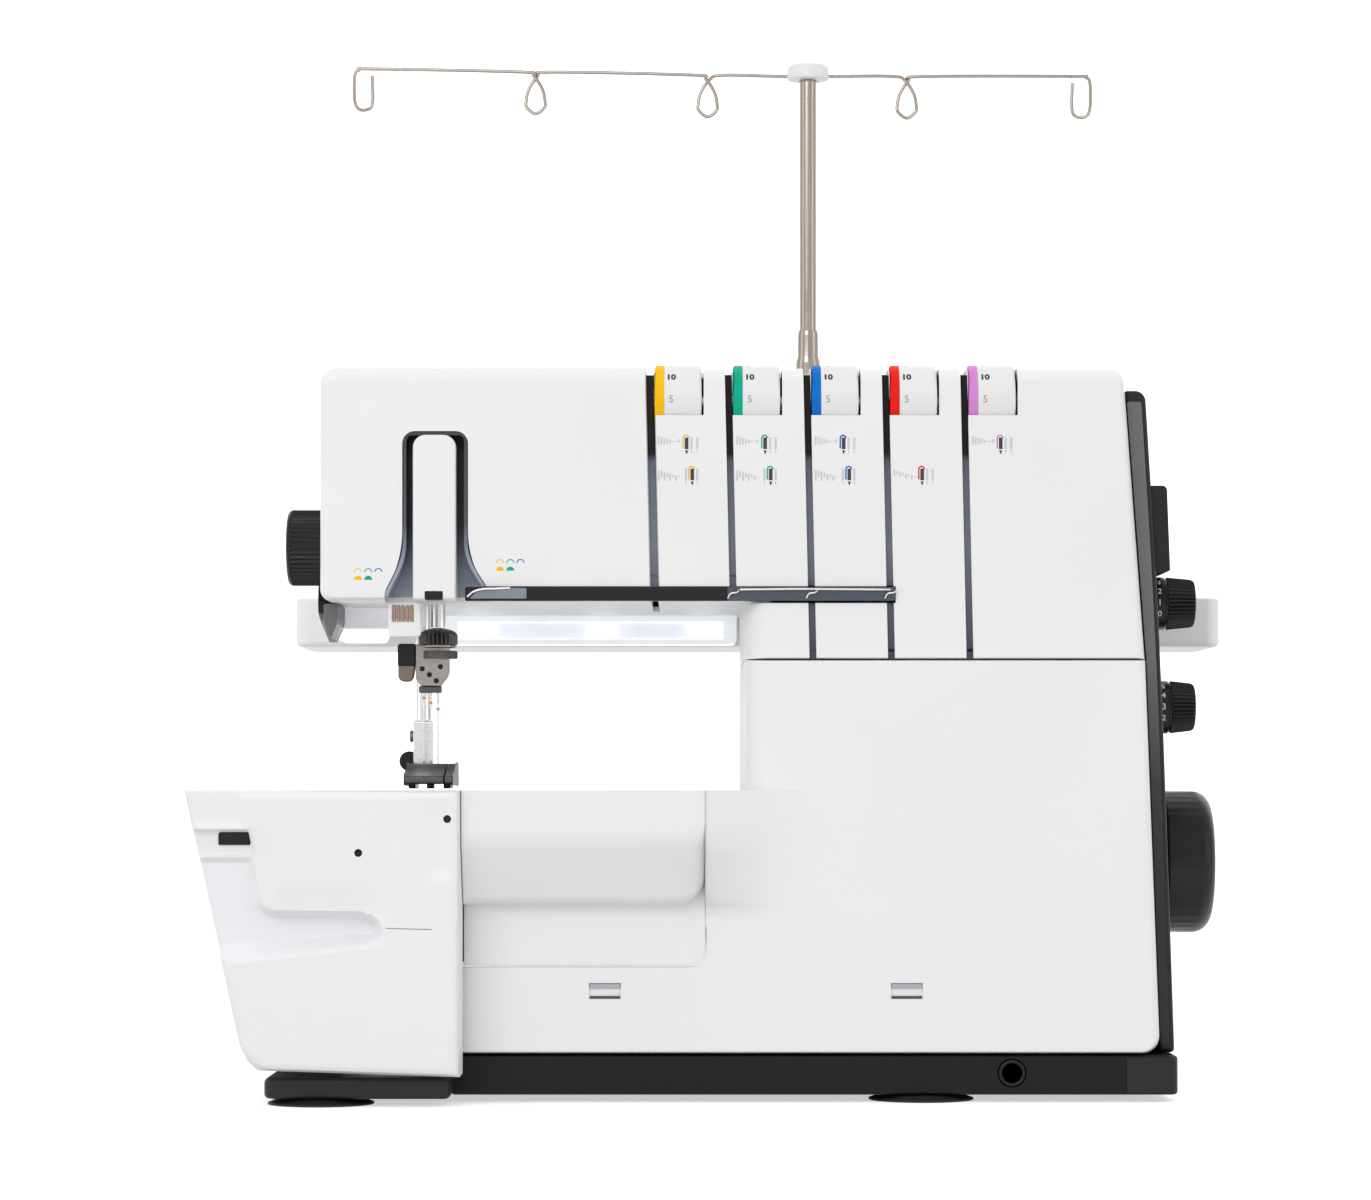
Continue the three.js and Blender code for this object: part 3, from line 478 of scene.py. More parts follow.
def height_graded(name, stops, roughness=0.45, shine=0.5):
    """Plastic whose colour changes with height, used here to paint light, shade and reflection that vary with
    height; stops are (height in mm, colour).
    """
    material, tree, surface = shader(name, roughness, shine=shine)
    coordinates = tree.nodes.new("ShaderNodeTexCoord")
    parts = tree.nodes.new("ShaderNodeSeparateXYZ")
    tree.links.new(coordinates.outputs["Object"], parts.inputs["Vector"])
    low, high = stops[0][0], stops[-1][0]
    ranged = tree.nodes.new("ShaderNodeMapRange")
    ranged.inputs["From Min"].default_value = low * MM
    ranged.inputs["From Max"].default_value = high * MM
    tree.links.new(parts.outputs["Z"], ranged.inputs["Value"])
    colours = [((height - low) / (high - low), colour) for height, colour in stops]
    tree.links.new(tinted(tree, ranged.outputs["Result"], colours), surface.inputs["Base Color"])
    tree.links.new(spread(tree, noise(tree, 50, 4), roughness - 0.06, roughness + 0.06),
                   surface.inputs["Roughness"])
    bumped(tree, surface, noise(tree, 2200, 2), 0.02)
    return material


def glowing(name, colour, strength):
    """An emitting surface whose colour varies a little from place to place: a lens with light behind it for the
    lamp lenses, and painted light on the reflector, lamp housing, lamp panel and door seal, which are no lamps.
    """
    material, tree, surface = shader(name, 0.35)
    tint = tinted(tree, noise(tree, 120, 2), [(0.3, scaled(colour, 0.94)), (0.7, colour)])
    tree.links.new(tint, surface.inputs["Base Color"])
    tree.links.new(tint, surface.inputs["Emission Color"])
    surface.inputs["Emission Strength"].default_value = strength
    return material


WHITE = moulded("white_shell", (0.84, 0.838, 0.835), 0.42, 0.015, 0.012)
DIAL_WHITE = moulded("dial_white", (0.78, 0.78, 0.785), 0.38, 0.015, 0.012)
# Bluish white for the deep part of the side table's finger scoop: painted bluish shade in the recess.
SCOOP_PAINTED_SHADE = moulded("scoop_painted_shade", (0.835, 0.845, 0.862), 0.42, 0.015, 0.012)
DARK = moulded("dark_shell", (0.0095, 0.0095, 0.0105), 0.42, 0.05, 0.10, 1800, 0.3)
GRAPHITE_LIGHT = moulded("graphite_light", (0.019, 0.0195, 0.0225), 0.46, 0.05, 0.10, 1800, 0.2)
GRAPHITE = moulded("graphite_base", (0.0062, 0.0062, 0.0072), 0.46, 0.05, 0.10, 1800, 0.2)
BLACK = moulded("black_plastic", (0.005, 0.005, 0.0055), 0.34, 0.04, 0.15, 1800, 0.3)
RUBBER = moulded("rubber", (0.006, 0.006, 0.006), 0.72, 0.08, 0.2, 900)
SLATE = moulded("slate_plastic", (0.055, 0.065, 0.095), 0.44, 0.03, 0.08, 1800)
GREY_PLASTIC = moulded("grey_plastic", (0.125, 0.125, 0.13), 0.42, 0.03, 0.06, 1800)
PALE_GREY = moulded("pale_grey", (0.42, 0.44, 0.48), 0.4, 0.02, 0.04)
STEEL = metal("steel", (0.74, 0.73, 0.72), 0.24)
DARK_STEEL = metal("dark_steel", (0.105, 0.098, 0.092), 0.3, variation=0.3)
CLAMP_STEEL = metal("clamp_steel", (0.33, 0.31, 0.295), 0.26, variation=0.25)
FOOT_STEEL = metal("foot_steel", (0.115, 0.115, 0.118), 0.46, (30, 1, 1))
NICKEL = metal("nickel", (0.40, 0.355, 0.315), 0.2, (1, 1, 0.05), 0.1, 900)
CASTING = moulded("cast_metal", (0.33, 0.34, 0.35), 0.5, 0.25, 0.10, 420)
LAMP = glowing("lamp_lens", (0.97, 0.985, 1.0), 1.3)
# Painted light: the reflector behind the LED lenses glows though it is no lamp.
REFLECTOR_PAINTED_LIGHT = glowing("lamp_reflector_painted_light", (0.77, 0.80, 0.86), 0.45)
# Painted light: the strip behind the door seam glows, so the seam reads pale.
SEAM_PAINTED_LIGHT = glowing("door_seal_painted_light", (0.70, 0.71, 0.72), 0.55)
# Painted light: the panel round the needle lamp glows though it is no lamp.
LAMP_PANEL_PAINTED_LIGHT = glowing("lamp_panel_painted_light", (0.74, 0.755, 0.785), 0.34)
# Painted light: the lamp housing glows though it is no lamp.
LAMP_HOUSING_PAINTED_LIGHT = glowing("lamp_housing_painted_light", (0.80, 0.82, 0.86), 0.48)
# Dark plastic, darkest at the bottom and lighter warm grey towards the top: the lightening is a painted brownish
# reflection on the right end cover's front.
END_PAINTED_REFLECTION = height_graded("end_facing_painted_reflection", [
    (100, (0.022, 0.022, 0.023)), (150, (0.036, 0.035, 0.036)), (215, (0.145, 0.137, 0.137)),
    (REAR.z1, (0.150, 0.141, 0.141)),
], shine=0.3)
# Dark blue channel plastic with painted light and shade: lighter above the band, darker towards the bottom, and
# black from 312 mm up as painted shade.
CHANNEL = height_graded("channel_floor", [
    (UPPER.z0, (0.075, 0.084, 0.115)), (BAND.z1 + 20, (0.185, 0.200, 0.262)), (300, (0.150, 0.163, 0.215)),
    (308.5, (0.110, 0.120, 0.160)), (312, (0.004, 0.004, 0.004)), (REAR.z1, (0.004, 0.004, 0.004)),
], shine=0.2)
# Painted light and shade in the head recess: pale bluish at the bottom, darkening to near black at the top.
LINER = height_graded("recess_liner", [
    (HEAD.z0, (0.36, 0.39, 0.47)), (256, (0.32, 0.36, 0.44)), (278, (0.085, 0.092, 0.112)),
    (BOX["head_recess_liner"].z1, (0.050, 0.051, 0.056)),
], shine=0.3)
THREAD_COLOURS = {
    "yellow": (0.93, 0.52, 0.0), "green": (0.0, 0.40, 0.26), "blue": (0.0, 0.15, 0.55),
    "red": (0.80, 0.010, 0.003), "pink": (0.66, 0.24, 0.62),
}
STRIPS = {name: moulded(f"{name}_ring", colour, 0.45, 0.01, 0.04, shine=0.12)
          for name, colour in THREAD_COLOURS.items()}
INK = moulded("grey_ink", (0.30, 0.30, 0.31), 0.6, 0.0, 0.05)
DARK_INK = moulded("dark_ink", (0.03, 0.03, 0.03), 0.6, 0.0, 0.05)
FAINT_INK = moulded("faint_ink", (0.60, 0.60, 0.64), 0.6, 0.0, 0.05)
AMBER = moulded("amber_dot", (0.85, 0.32, 0.10), 0.5, 0.0, 0.05)
SLATE_LIGHT = moulded("slate_light", (0.22, 0.25, 0.31), 0.3, 0.02, 0.08)
COPPER = metal("copper", (0.42, 0.27, 0.20), 0.3)
BRONZE = metal("bronze", (0.20, 0.15, 0.12), 0.34)

# ------------------------------------------------------------------ casing

def leaning_slot(index, half, bottom, top, front, back):
    sides = [(channel_x(index, bottom) - half, bottom), (channel_x(index, bottom) + half, bottom),
             (channel_x(index, top) + half, top), (channel_x(index, top) - half, top)]
    return prism(sides, front, back)


BAND_HOLE = (BAND.x0 - GAP, BAND.x1 + GAP, UPPER.y0 - 3, BAND.y1 + 0.6, HEAD.z0 - 1, BAND.z1 + GAP)


def head_cover():
    right_low, right_high = channel_x(0, HEAD.z0) - CHANNEL_HALF, channel_x(0, HEAD.z1) - CHANNEL_HALF
    outline = [(HEAD.x0, HEAD.z0, 6), (right_low, HEAD.z0), (right_high, HEAD.z1), (HEAD.x0, HEAD.z1, 8)]
    cover = new_object("head", shell(outline, [2.2, 0.8, 7, 5], HEAD.y0, HEAD.y1))
    liner = BOX["head_recess_liner"]
    recess = [(liner.x0 - 0.4, HEAD.z0 - 2), (liner.x1 + 0.4, HEAD.z0 - 2), (liner.x1 + 0.4, BAND.z1 - 0.7, 3),
              (liner.x1 - 9.2, 262, 12), (liner.x1 - 9.2, liner.z1 + 0.4, 6),
              (liner.x0 + 8.3, liner.z1 + 0.4, 6), (liner.x0 + 8.3, 262, 12), (liner.x0 - 0.4, 245, 3)]
    carve(cover, prism(recess, HEAD.y0 - 2, -116), block(*BAND_HOLE))
    soften(cover, 0.5)
    piece("head_cover_shell", cover, WHITE, "head_cover")


def dial_window(dial):
    left, right = dial.x0 - GAP, dial.x1 + 1
    across = (dial.y, dial.z)
    radius = dial.z1 - dial.z + 0.6
    round_part = spindle(radius, left, right, "x", across, 72)
    return round_part, block(left, right, UPPER.y0 - 2, dial.y + radius * 0.83, dial.z, UPPER.z1 + 2)


def upper_cover():
    left_low, left_high = (channel_x(0, z) + CHANNEL_HALF for z in (HEAD.z0, UPPER.z1))
    outline = [(THROAT_X, UPPER.z0), (RIGHT_SEAM, UPPER.z0), (RIGHT_TOP, UPPER.z1, 7), (left_high, UPPER.z1),
               (left_low, HEAD.z0), (THROAT_X, HEAD.z0)]
    edges = [0.8, 4.0, 7.0, 0.8, 1.2, THROAT_ROUND]
    cover = new_object("upper", shell(outline, edges, UPPER.y0, UPPER.y1))
    for index in range(1, len(DIALS)):
        bottom = HEAD.z0 - 1 if index == 1 else UPPER.z0 - 1
        carve(cover, leaning_slot(index, CHANNEL_HALF, bottom, UPPER.z1 + 2, UPPER.y0 - 1, UPPER.y0 + 3.6))
        x = channel_x(index, UPPER.z1)
        carve(cover, block(x - CHANNEL_HALF, x + CHANNEL_HALF, UPPER.y0 - 1, UPPER.y0 + 70,
                           UPPER.z1 - 3.6, UPPER.z1 + 2))
    for dial in DIALS:
        carve(cover, *dial_window(dial))
    carve(cover, block(*BAND_HOLE))
    soften(cover, 0.45)
    piece("upper_cover_shell", cover, WHITE, "upper_cover")


POD_BOTTOM = 94.4
POD_EDGE = 1.2
POD_PROFILE = [(POD.y0, BED_TOP), (POD.y0, 126, 5), (LOWER_FACE - 9, POD_BOTTOM + 1.4, 4),
               (LOWER_FACE, POD_BOTTOM)]


def pod_section():
    """The (y, z) points of the pod's front and underside, from the bed down to the cover."""
    return rounded([*POD_PROFILE, (LOWER_FACE, BED_TOP)], 10)[:-1]


def shoulder():
    """The swelling that carries the pod's shape to the right over the lower cover and fades out."""
    plan = [(POD.x1 + GAP, LOWER_FACE + 1), (POD.x1 + GAP, POD.y0 + 1.2), (-6, POD.y0 + 5, 18),
            (26, LOWER_FACE + 0.2, 30), (44, LOWER_FACE + 0.2), (44, LOWER_FACE + 1)]
    path = rounded(plan, 12)
    rings = []
    slope = rounded([(POD.y0, BED_TOP), (POD.y0, 127, 10), (LOWER_FACE - 8, 98, 9), (LOWER_FACE - 0.5, 92, 5),
                     (LOWER_FACE + 0.2, 84), (LOWER_FACE + 0.2, BED_TOP)], 12)[:-1]
    for y, z in slope:
        share = min((y - LOWER_FACE) / (POD.y0 - LOWER_FACE), 1)
        rings.append([(p.x, LOWER_FACE + (p.y - LOWER_FACE) * share if p.y < LOWER_FACE else p.y, z)
                      for p in path])
    return loft(rings)


def lower_cover():
    outline = [(LOWER.x0, LOWER.z0), (RIGHT_BOTTOM, LOWER.z0, 9), (RIGHT_SEAM - 0.2, LOWER.z1),
               (THROAT_X, LOWER.z1), (THROAT_X, BED_TOP), (POD.x1 + GAP, BED_TOP), (POD.x1 + GAP, 65, 8),
               (LOWER.x0, 65)]
    edges = [1.5, 4.0, 0.8, THROAT_ROUND, 0.8, 0.3, 0.3, 0.8]
    cover = new_object("lower", shell(outline, edges, LOWER_FACE, LOWER.y1))
    boolean(cover, shoulder(), "UNION")
    for x in LATCH_PLACES:
        carve(cover, block(x - 7.7, x + 7.7, LOWER_FACE - 1, LOWER_FACE + 1.8, 49.6, 57.3))
    soften(cover, 0.35)
    piece("lower_cover_shell", cover, WHITE, "lower_front_cover")
    for i, x in enumerate(LATCH_PLACES):
        lip = pillow(rect(x - 7.3, x + 7.3, 54.6, 57.0), LOWER_FACE + 0.9, LOWER_FACE + 2.4, 0.3)
        extra(f"latch_lip_{i}", lip, PALE_GREY, "lower_front_cover")
        shade = block(x - 7.2, x + 7.2, LOWER_FACE + 1.2, LOWER_FACE + 2.4, 49.7, 51.0)
        extra(f"latch_shade_{i}", shade, SLATE, "lower_front_cover")


def pod_body(left, right, grow, corner):
    """The pod as a loft along x; grow moves its surface inwards and corner rounds its lower right."""
    section = pod_section()
    rings = []
    stations = [left, left + 0.3, left + 0.8, left + 1.6]
    straight = right - corner
    stations += [straight * t / 4 + stations[-1] * (1 - t / 4) for t in range(1, 5)]
    stations += [straight + corner * math.sin(math.pi / 2 * t / 12) for t in range(1, 13)]
    for x in stations:
        rise = corner - math.sqrt(max(corner ** 2 - max(x - straight, 0) ** 2, 0))
        side = min(x - left, right - x)
        edge = POD_EDGE - math.sqrt(max(POD_EDGE ** 2 - max(POD_EDGE - side, 0) ** 2, 0))
        bottom = POD_BOTTOM + grow + min(rise, corner * 0.93)
        top = BED_TOP - grow
        ring = [(x, LOWER_FACE + WALL + (6 if grow else 0), top)]
        for y, z in section:
            height = bottom + (z - POD_BOTTOM) * (top - bottom) / (BED_TOP - POD_BOTTOM)
            ring.append((x, min(y + grow + edge, LOWER_FACE + WALL), height))
        ring.append((x, LOWER_FACE + WALL + (6 if grow else 0), bottom))
        rings.append(ring)
    return loft(rings)


def looper_door():
    left = POD.x0 - 0.35
    cover = new_object("door", pod_body(left, POD.x1, 0, 14))
    plate = pillow([(left, POD.z0), (POD.x1, POD.z0, 9.8), (POD.x1, BED_TOP - 20), (left, BED_TOP - 20)],
                   LOWER_FACE, LOWER_FACE + WALL, 0.3)
    boolean(cover, plate, "UNION")
    carve(cover, pod_body(POD.x0 + WALL, POD.x1 - WALL, WALL, 12))
    soften(cover, 0.4)
    piece("looper_cover_shell", cover, WHITE, "looper_cover")


def seam_lip():
    """The pale lip of the lower cover that shows in the upright seam beside the looper cover."""
    inner, outer = POD.x1 + 0.05, POD.x1 + GAP - 0.05
    plate = block(inner, outer, LOWER_FACE + 0.45, LOWER_FACE + 1.6, POD.z0 + 12, POD_BOTTOM + 1)
    section = [(y + 0.6, z) for y, z in pod_section()] + [(LOWER_FACE + 1.6, BED_TOP)]
    upright = loft([[(x, y, z) for y, z in section] for x in (inner, outer)])
    extra("seam_lip", merged(plate, upright), WHITE, "lower_front_cover")
    # The seal strip behind the door's seam glows: painted light that makes the seam read pale.
    near, far = LOWER_FACE + WALL + 0.5, LOWER_FACE + WALL + 1.7
    seal = [(LOWER.x0 + 1, 64.2), (outer + 0.8, 64.2, 9), (outer + 0.8, POD.z0 + 12), (outer - 1.6, POD.z0 + 12),
            (outer - 2.4, 67.2, 8), (LOWER.x0 + 1, 67.2)]
    extra("door_seal_painted_light", prism(seal, near, far), SEAM_PAINTED_LIGHT, "lower_front_cover")


def rear_and_arm():
    end = BOX["right_end_cover"]
    outline = [(LOWER.x1 + 0.9, LOWER.z0, 1), (end.x1, LOWER.z0, 2), (206.6, 222, 60), (199.2, end.z1, 5),
               (end.x0, end.z1, 1), (RIGHT_SEAM + 0.6, LOWER.z1)]
    body = new_object("end", pillow(outline, end.y0, end.y1, 2.2, high_edge=3.0))
    low = BOX["differential_dial"].z1 + 0.8
    pad = pillow([(202, low, 1), (212.0, low, 1.2), (210.4, 298, 2.4), (198, 298, 1)], -116, -48, 1.2)
    boolean(body, pad, "UNION")
    socket, switch = BOX["power_socket"], BOX["power_switch"]
    carve(body, block(socket.x0 - 0.4, 218, socket.y0 - 0.4, socket.y1 + 0.4, socket.z0 - 0.4, socket.z1 + 0.4),
          block(switch.x0 - 2.5, 218, switch.y0 - 0.5, switch.y1 + 0.5, switch.z0 - 1.5, switch.z1 + 1.5))
    for z in (300, 308, 316, 324):
        carve(body, pillow([(199, z), (214, z), (214, z + 3, 0.5), (199, z + 3)], -40, 30, 0.5))
    piece("right_end_shell", body, DARK, "right_end_cover")
    facing = [(LOWER.x1 + 1.4, LOWER.z0 + 4, 1), (end.x1 - 2.6, LOWER.z0 + 4, 1), (204.4, 222, 60),
              (197.1, end.z1 - 5.5, 1), (end.x0 + 0.8, end.z1 - 5.5, 1), (RIGHT_SEAM + 1.1, LOWER.z1)]
    # The facing carries the painted reflection, lighter towards the top.
    extra("right_end_facing", pillow(facing, end.y0 - 0.2, end.y0 + 1.5, 0.15), END_PAINTED_REFLECTION, "right_end_cover")


head_cover()
upper_cover()
lower_cover()
looper_door()
seam_lip()
rear_and_arm()


# ------------------------------------------------------------------ side table

def mesh_of(obj):
    """The mesh of a helper object as a bmesh; the object goes."""
    mesh = bmesh.new()
    mesh.from_mesh(obj.data)
    data = obj.data
    bpy.data.objects.remove(obj)
    bpy.data.meshes.remove(data)
    return mesh


def ease(value, low, high):
    t = min(max((value - low) / (high - low), 0), 1)
    return t * t * (3 - 2 * t)


def reach_inside(path, x, z):
    """How far (x, z) lies inside a closed path of points; negative outside it."""
    nearest = 1e9
    inside = False
    for i, a in enumerate(path):
        b = path[(i + 1) % len(path)]
        dx, dz = b.x - a.x, b.y - a.y
        t = min(max(((x - a.x) * dx + (z - a.y) * dz) / max(dx * dx + dz * dz, 1e-9), 0), 1)
        nearest = min(nearest, math.hypot(x - a.x - t * dx, z - a.y - t * dz))
        if (a.y > z) != (b.y > z) and x < a.x + (z - a.y) * dx / dz:
            inside = not inside
    return nearest if inside else -nearest


TABLE_CORNERS = [(TABLE.x0 + 26.6, 27, 5), (TABLE.x0 + 34.6, 17.4, 5), (TABLE.x1, TABLE.z0), (TABLE.x1, BED_TOP),
                 (TABLE.x0, BED_TOP)]
HOLLOW = [(TABLE.x0 - 3, 118.5), (-228.4, 118.5, 3), (-223.5, 93, 5), (-172, 92, 8), (-165.5, 84, 6),
          (-167.5, 76.6, 5), (-241.8, 68, 20), (TABLE.x0 - 3, 66)]
SLOT_BAND = [(TABLE.x0 - 3, 118), (-227.2, 118, 2), (-229.6, 131.5, 1), (TABLE.x0 - 3, 131.5)]
WING = [(TABLE.x0 - 3, 131), (-229.6, 131), (-233.4, BED_TOP + 4), (TABLE.x0 - 3, BED_TOP + 4)]


def table_depth(x, z, outline, hollow, slot_band, wing):
    """How far the front of the table lies behind its foremost plane."""
    edge = min(reach_inside(outline, x, z), 4.0)
    depth = 4.0 - math.sqrt(max(16.0 - (4.0 - max(edge, 0)) ** 2, 0))
    deep = 6.0 + 6.5 * ease(x, -236, -205)
    soft = 9.0 - 5.5 * ease(z, 74, 90)
    depth = max(depth, depth * 0.4 + deep * ease(reach_inside(hollow, x, z), -0.6, soft))
    depth = max(depth, 3.4 * ease(reach_inside(slot_band, x, z), -0.6, 1.8))
    depth = max(depth, 1.8 * ease(reach_inside(wing, x, z), -0.6, 5.0))
    near = reach_inside(hollow, x, z)
    valley = 1.7 * ease(x, -151, -140) * (1 - ease(x, -138, -131.5)) * ease(z, 104, 116) * (1 - ease(z, 136, 148))
    tuck = 2.6 * ease(near, -17, 1) * ease(z, 86, 93) * (1 - ease(x, -176, -160))
    return depth + valley + tuck * (1 - ease(near, 0, 4))


def table_front():
    """The closed outer body of the side table with its modelled front."""
    t = TABLE
    outline = rounded(TABLE_CORNERS)
    hollow, slot_band, wing = (rounded(points) for points in (HOLLOW, SLOT_BAND, WING))
    columns, rows = 104, 108
    left_edge = [(BED_TOP, t.x0), (29.5, t.x0 + 26.1), (22.5, t.x0 + 29.5), (17.4, t.x0 + 34.6), (0, t.x0 + 34.6)]

    def left_at(z):
        for (z_high, x_high), (z_low, x_low) in zip(left_edge, left_edge[1:]):
            if z >= z_low:
                return x_low + (x_high - x_low) * (z - z_low) / (z_high - z_low)
        return left_edge[-1][1]

    mesh = bmesh.new()
    grid = []
    for i in range(rows + 1):
        line = []
        for j in range(columns + 1):
            u, v = j / columns, i / rows
            low = 17.4 - 3.1 * u
            z = low + (BED_TOP - low) * v
            x = left_at(z) + (t.x1 - left_at(z)) * u
            y = t.y0 + table_depth(x, z, outline, hollow, slot_band, wing)
            line.append(mesh.verts.new(Vector((x, y, z)) * MM))
        grid.append(line)
    for low, high in zip(grid, grid[1:]):
        for j in range(columns):
            mesh.faces.new((low[j], low[j + 1], high[j + 1], high[j]))
    rim = grid[0] + [line[-1] for line in grid[1:]] + grid[-1][-2::-1] + [line[0] for line in grid[-2:0:-1]]
    back = [mesh.verts.new((vert.co.x, t.y1 * MM, vert.co.z)) for vert in rim]
    for i in range(len(rim)):
        j = (i + 1) % len(rim)
        mesh.faces.new((rim[i], back[i], back[j], rim[j]))
    mesh.faces.new(list(reversed(back)))
    bmesh.ops.recalc_face_normals(mesh, faces=mesh.faces)
    return mesh


def side_table():
    t = TABLE
    table = new_object("table", table_front())
    arm = BOX["bed_cover"]
    gap = (arm.x0 - 3, t.x1 + 5, -143, t.y1 + 5)
    room = [(t.x0 + 29.8, 10), (t.x1 - WALL, 10), (t.x1 - WALL, BED_TOP - WALL), (t.x0 + 4, BED_TOP - WALL),
            (t.x0 + 29.2, 30)]
    hollow = new_object("room", prism(room, t.y0 + 17.5, t.y1 - WALL))
    carve(hollow, block(gap[0] - WALL, gap[1], gap[2] - WALL, gap[3], 0, BED_TOP + 5))
    carve(table, block(*gap, 0, BED_TOP + 5), mesh_of(hollow))
    slot = [(-244.5, 124, 1.5), (-229.0, 124, 1), (-229.8, 130.2, 1), (-244.5, 130.2, 1.5)]
    carve(table, prism(slot, t.y0 - 1, t.y0 + 9))
    holes = ((-178, 120.3), (-136.1, 136.3))
    for x, z in holes:
        carve(table, spindle(1.9, t.y0 - 1, t.y0 + 6, "y", (x, z), 32))
    carve(table, prism([(-165, 84.5), (-143.4, 83.9), (-143.4, 84.4), (-165, 85.0)], t.y0 - 1, t.y0 + 1.4))
    made = piece("side_table_shell", table, [WHITE, SCOOP_PAINTED_SHADE], "side_table")
    # Faces deep in the scoop take the bluish second material: painted bluish shade in the recess.
    scoop = rounded(HOLLOW)
    paint_faces(made, 1, lambda c: c.y < t.y0 + 16 and reach_inside(scoop, c.x, c.z) > 1.5)
    # A black block in the blind slot and black plugs in the two holes: painted shade for the dark inside of the
    # table.
    extra("table_slot_painted_shade", block(-244.4, -229.9, t.y0 + 4.4, t.y0 + 8.5, 124.1, 130.1), BLACK, "side_table")
    for i, (x, z) in enumerate(holes):
        plug = spindle(1.85, t.y0 + 2.6, t.y0 + 4.4, "y", (x, z), 24)
        extra(f"table_hole_painted_shade_{i}", plug, BLACK, "side_table")


side_table()


# ------------------------------------------------------------------ base, feet, wheel and dials

def base():
    left, right = -136, BASE.x1
    main = new_object("main", pillow([(left, LOWER_FACE), (right, LOWER_FACE, 5), (right, 66, 8), (left, 66, 8)],
                                     BASE.z0, BASE.z1, 1.6, axis="z"))
    side = pillow([(BASE.x0, BASE.y0, 8), (-135, BASE.y0, 4), (-135, 40), (BASE.x0, 40, 8)],
                  BASE.z0, 13.5, 2.4, axis="z")
    boolean(main, side, "UNION")
    knee = BOX["knee_lift_socket"]
    carve(main, spindle(7, knee.y0 - 2, knee.y1, "y", (knee.x, knee.z), 48))
    end = right - 25
    carve(main, block(end - 0.5, end, LOWER_FACE - 1, LOWER_FACE + 0.4, BASE.z0 - 1, BASE.z1 + 1))
    made = piece("base_shell", main, [GRAPHITE, GRAPHITE_LIGHT], "base_pan")
    paint_faces(made, 1, lambda c: c.x < left and c.z < 14 or c.x > end)
    ring = lathe([(4.4, knee.y0 + 0.2), *arc((5.6, knee.y0 + 0.9), 0.9, 180, 360, 6), (6.6, knee.y1),
                  (4.4, knee.y1), (4.4, knee.y0 + 0.2)], "y", (knee.x, knee.z), 48)
    piece("knee_socket_ring", ring, BLACK, "knee_lift_socket")
    for name in ("foot_front_left", "foot_front_right", "foot_rear_left", "foot_rear_right"):
        foot = BOX[name]
        radius = (foot.x1 - foot.x0) / 2
        profile = [(0, 0), (radius - 0.4, 0), (radius, 0.3), (radius - 0.2, 1.0), (radius - 3, 2.0),
                   (radius - 6, 3.1), (12, 3.3), (8, 3.5), (6, foot.z1), (0, foot.z1)]
        piece(f"{name}_pad", lathe(profile, "z", (foot.x, foot.y), 72), RUBBER, name)


def handwheel():
    wheel = BOX["handwheel"]
    radius = (wheel.z1 - wheel.z0) / 2
    out = wheel.x1
    profile = [(0, wheel.x0), (13, wheel.x0), (13.4, 214), *arc((radius - 3, 217), 3, 270, 360),
               *arc((radius - 9, out - 9), 9, 0, 90, 10), (24, out - 0.4), (21, out - 2.6), (14, out - 3.2),
               (12, out - 1.2), (0, out - 0.8)]
    mesh = lathe(profile, "x", (wheel.y, wheel.z), 160, ribs=(40, 0.5, 217.1, out - 8.9))
    piece("handwheel_rim", mesh, BLACK, "handwheel")


def side_dial(name, inner):
    dial = BOX[name]
    radius = (dial.z1 - dial.z0) / 2
    out = dial.x1
    profile = [(0, dial.x0), (4, dial.x0), (4, inner), (radius - 0.6, inner), (radius, inner + 0.6),
               (radius, inner + 6.4), (radius - 0.8, inner + 6.9), (radius - 0.8, inner + 7.6),
               (radius - 0.1, inner + 8.0), (radius - 1.2, out - 2), *arc((radius - 3.4, out - 2), 2, 0, 90),
               (0, out)]
    mesh = lathe(profile, "x", (dial.y, dial.z), 216, ribs=(36, 0.9, inner + 7.8, out - 1.0))
    piece(f"{name}_knob", mesh, BLACK, name)


def pressure_knob():
    dial = BOX["pressure_dial"]
    radius = (dial.z1 - dial.z0) / 2
    out = dial.x0
    inner = HEAD.x0 - GAP
    profile = [(0, dial.x1), (4, dial.x1), (4, inner), (radius - 1, inner), (radius, inner - 1.4),
               (radius, out + 2.4), *[(radius - 2.4 + r, out + 2.4 - h) for r, h in arc((0, 0), 2.4, 0, 90)],
               (radius - 7, out), (radius - 8, out + 1.4), (0, out + 1.4)]
    mesh = lathe(profile, "x", (dial.y, dial.z), 288, ribs=(48, 0.7, out + 2.2, inner - 1.2))
    piece("pressure_dial_knob", mesh, BLACK, "pressure_dial")


base()
handwheel()
for end_dial, end_face in END_DIALS.items():
    side_dial(end_dial, end_face)
pressure_knob()


# ------------------------------------------------------------------ printed marks

def lettering(text, size, bold=0.0):
    """Flat digits as a bmesh in mm, centred on the origin in x and y."""
    curve = bpy.data.curves.new("digits", "FONT")
    curve.body = text
    curve.size = size
    curve.offset = bold
    curve.extrude = 0.06
    curve.resolution_u = 4
    curve.align_x = "CENTER"
    curve.align_y = "CENTER"
    obj = bpy.data.objects.new("digits", curve)
    bpy.context.scene.collection.objects.link(obj)
    graph = bpy.context.evaluated_depsgraph_get()
    data = bpy.data.meshes.new_from_object(obj.evaluated_get(graph))
    mesh = bmesh.new()
    mesh.from_mesh(data)
    bpy.data.objects.remove(obj)
    bpy.data.curves.remove(curve)
    bpy.data.meshes.remove(data)
    return mesh


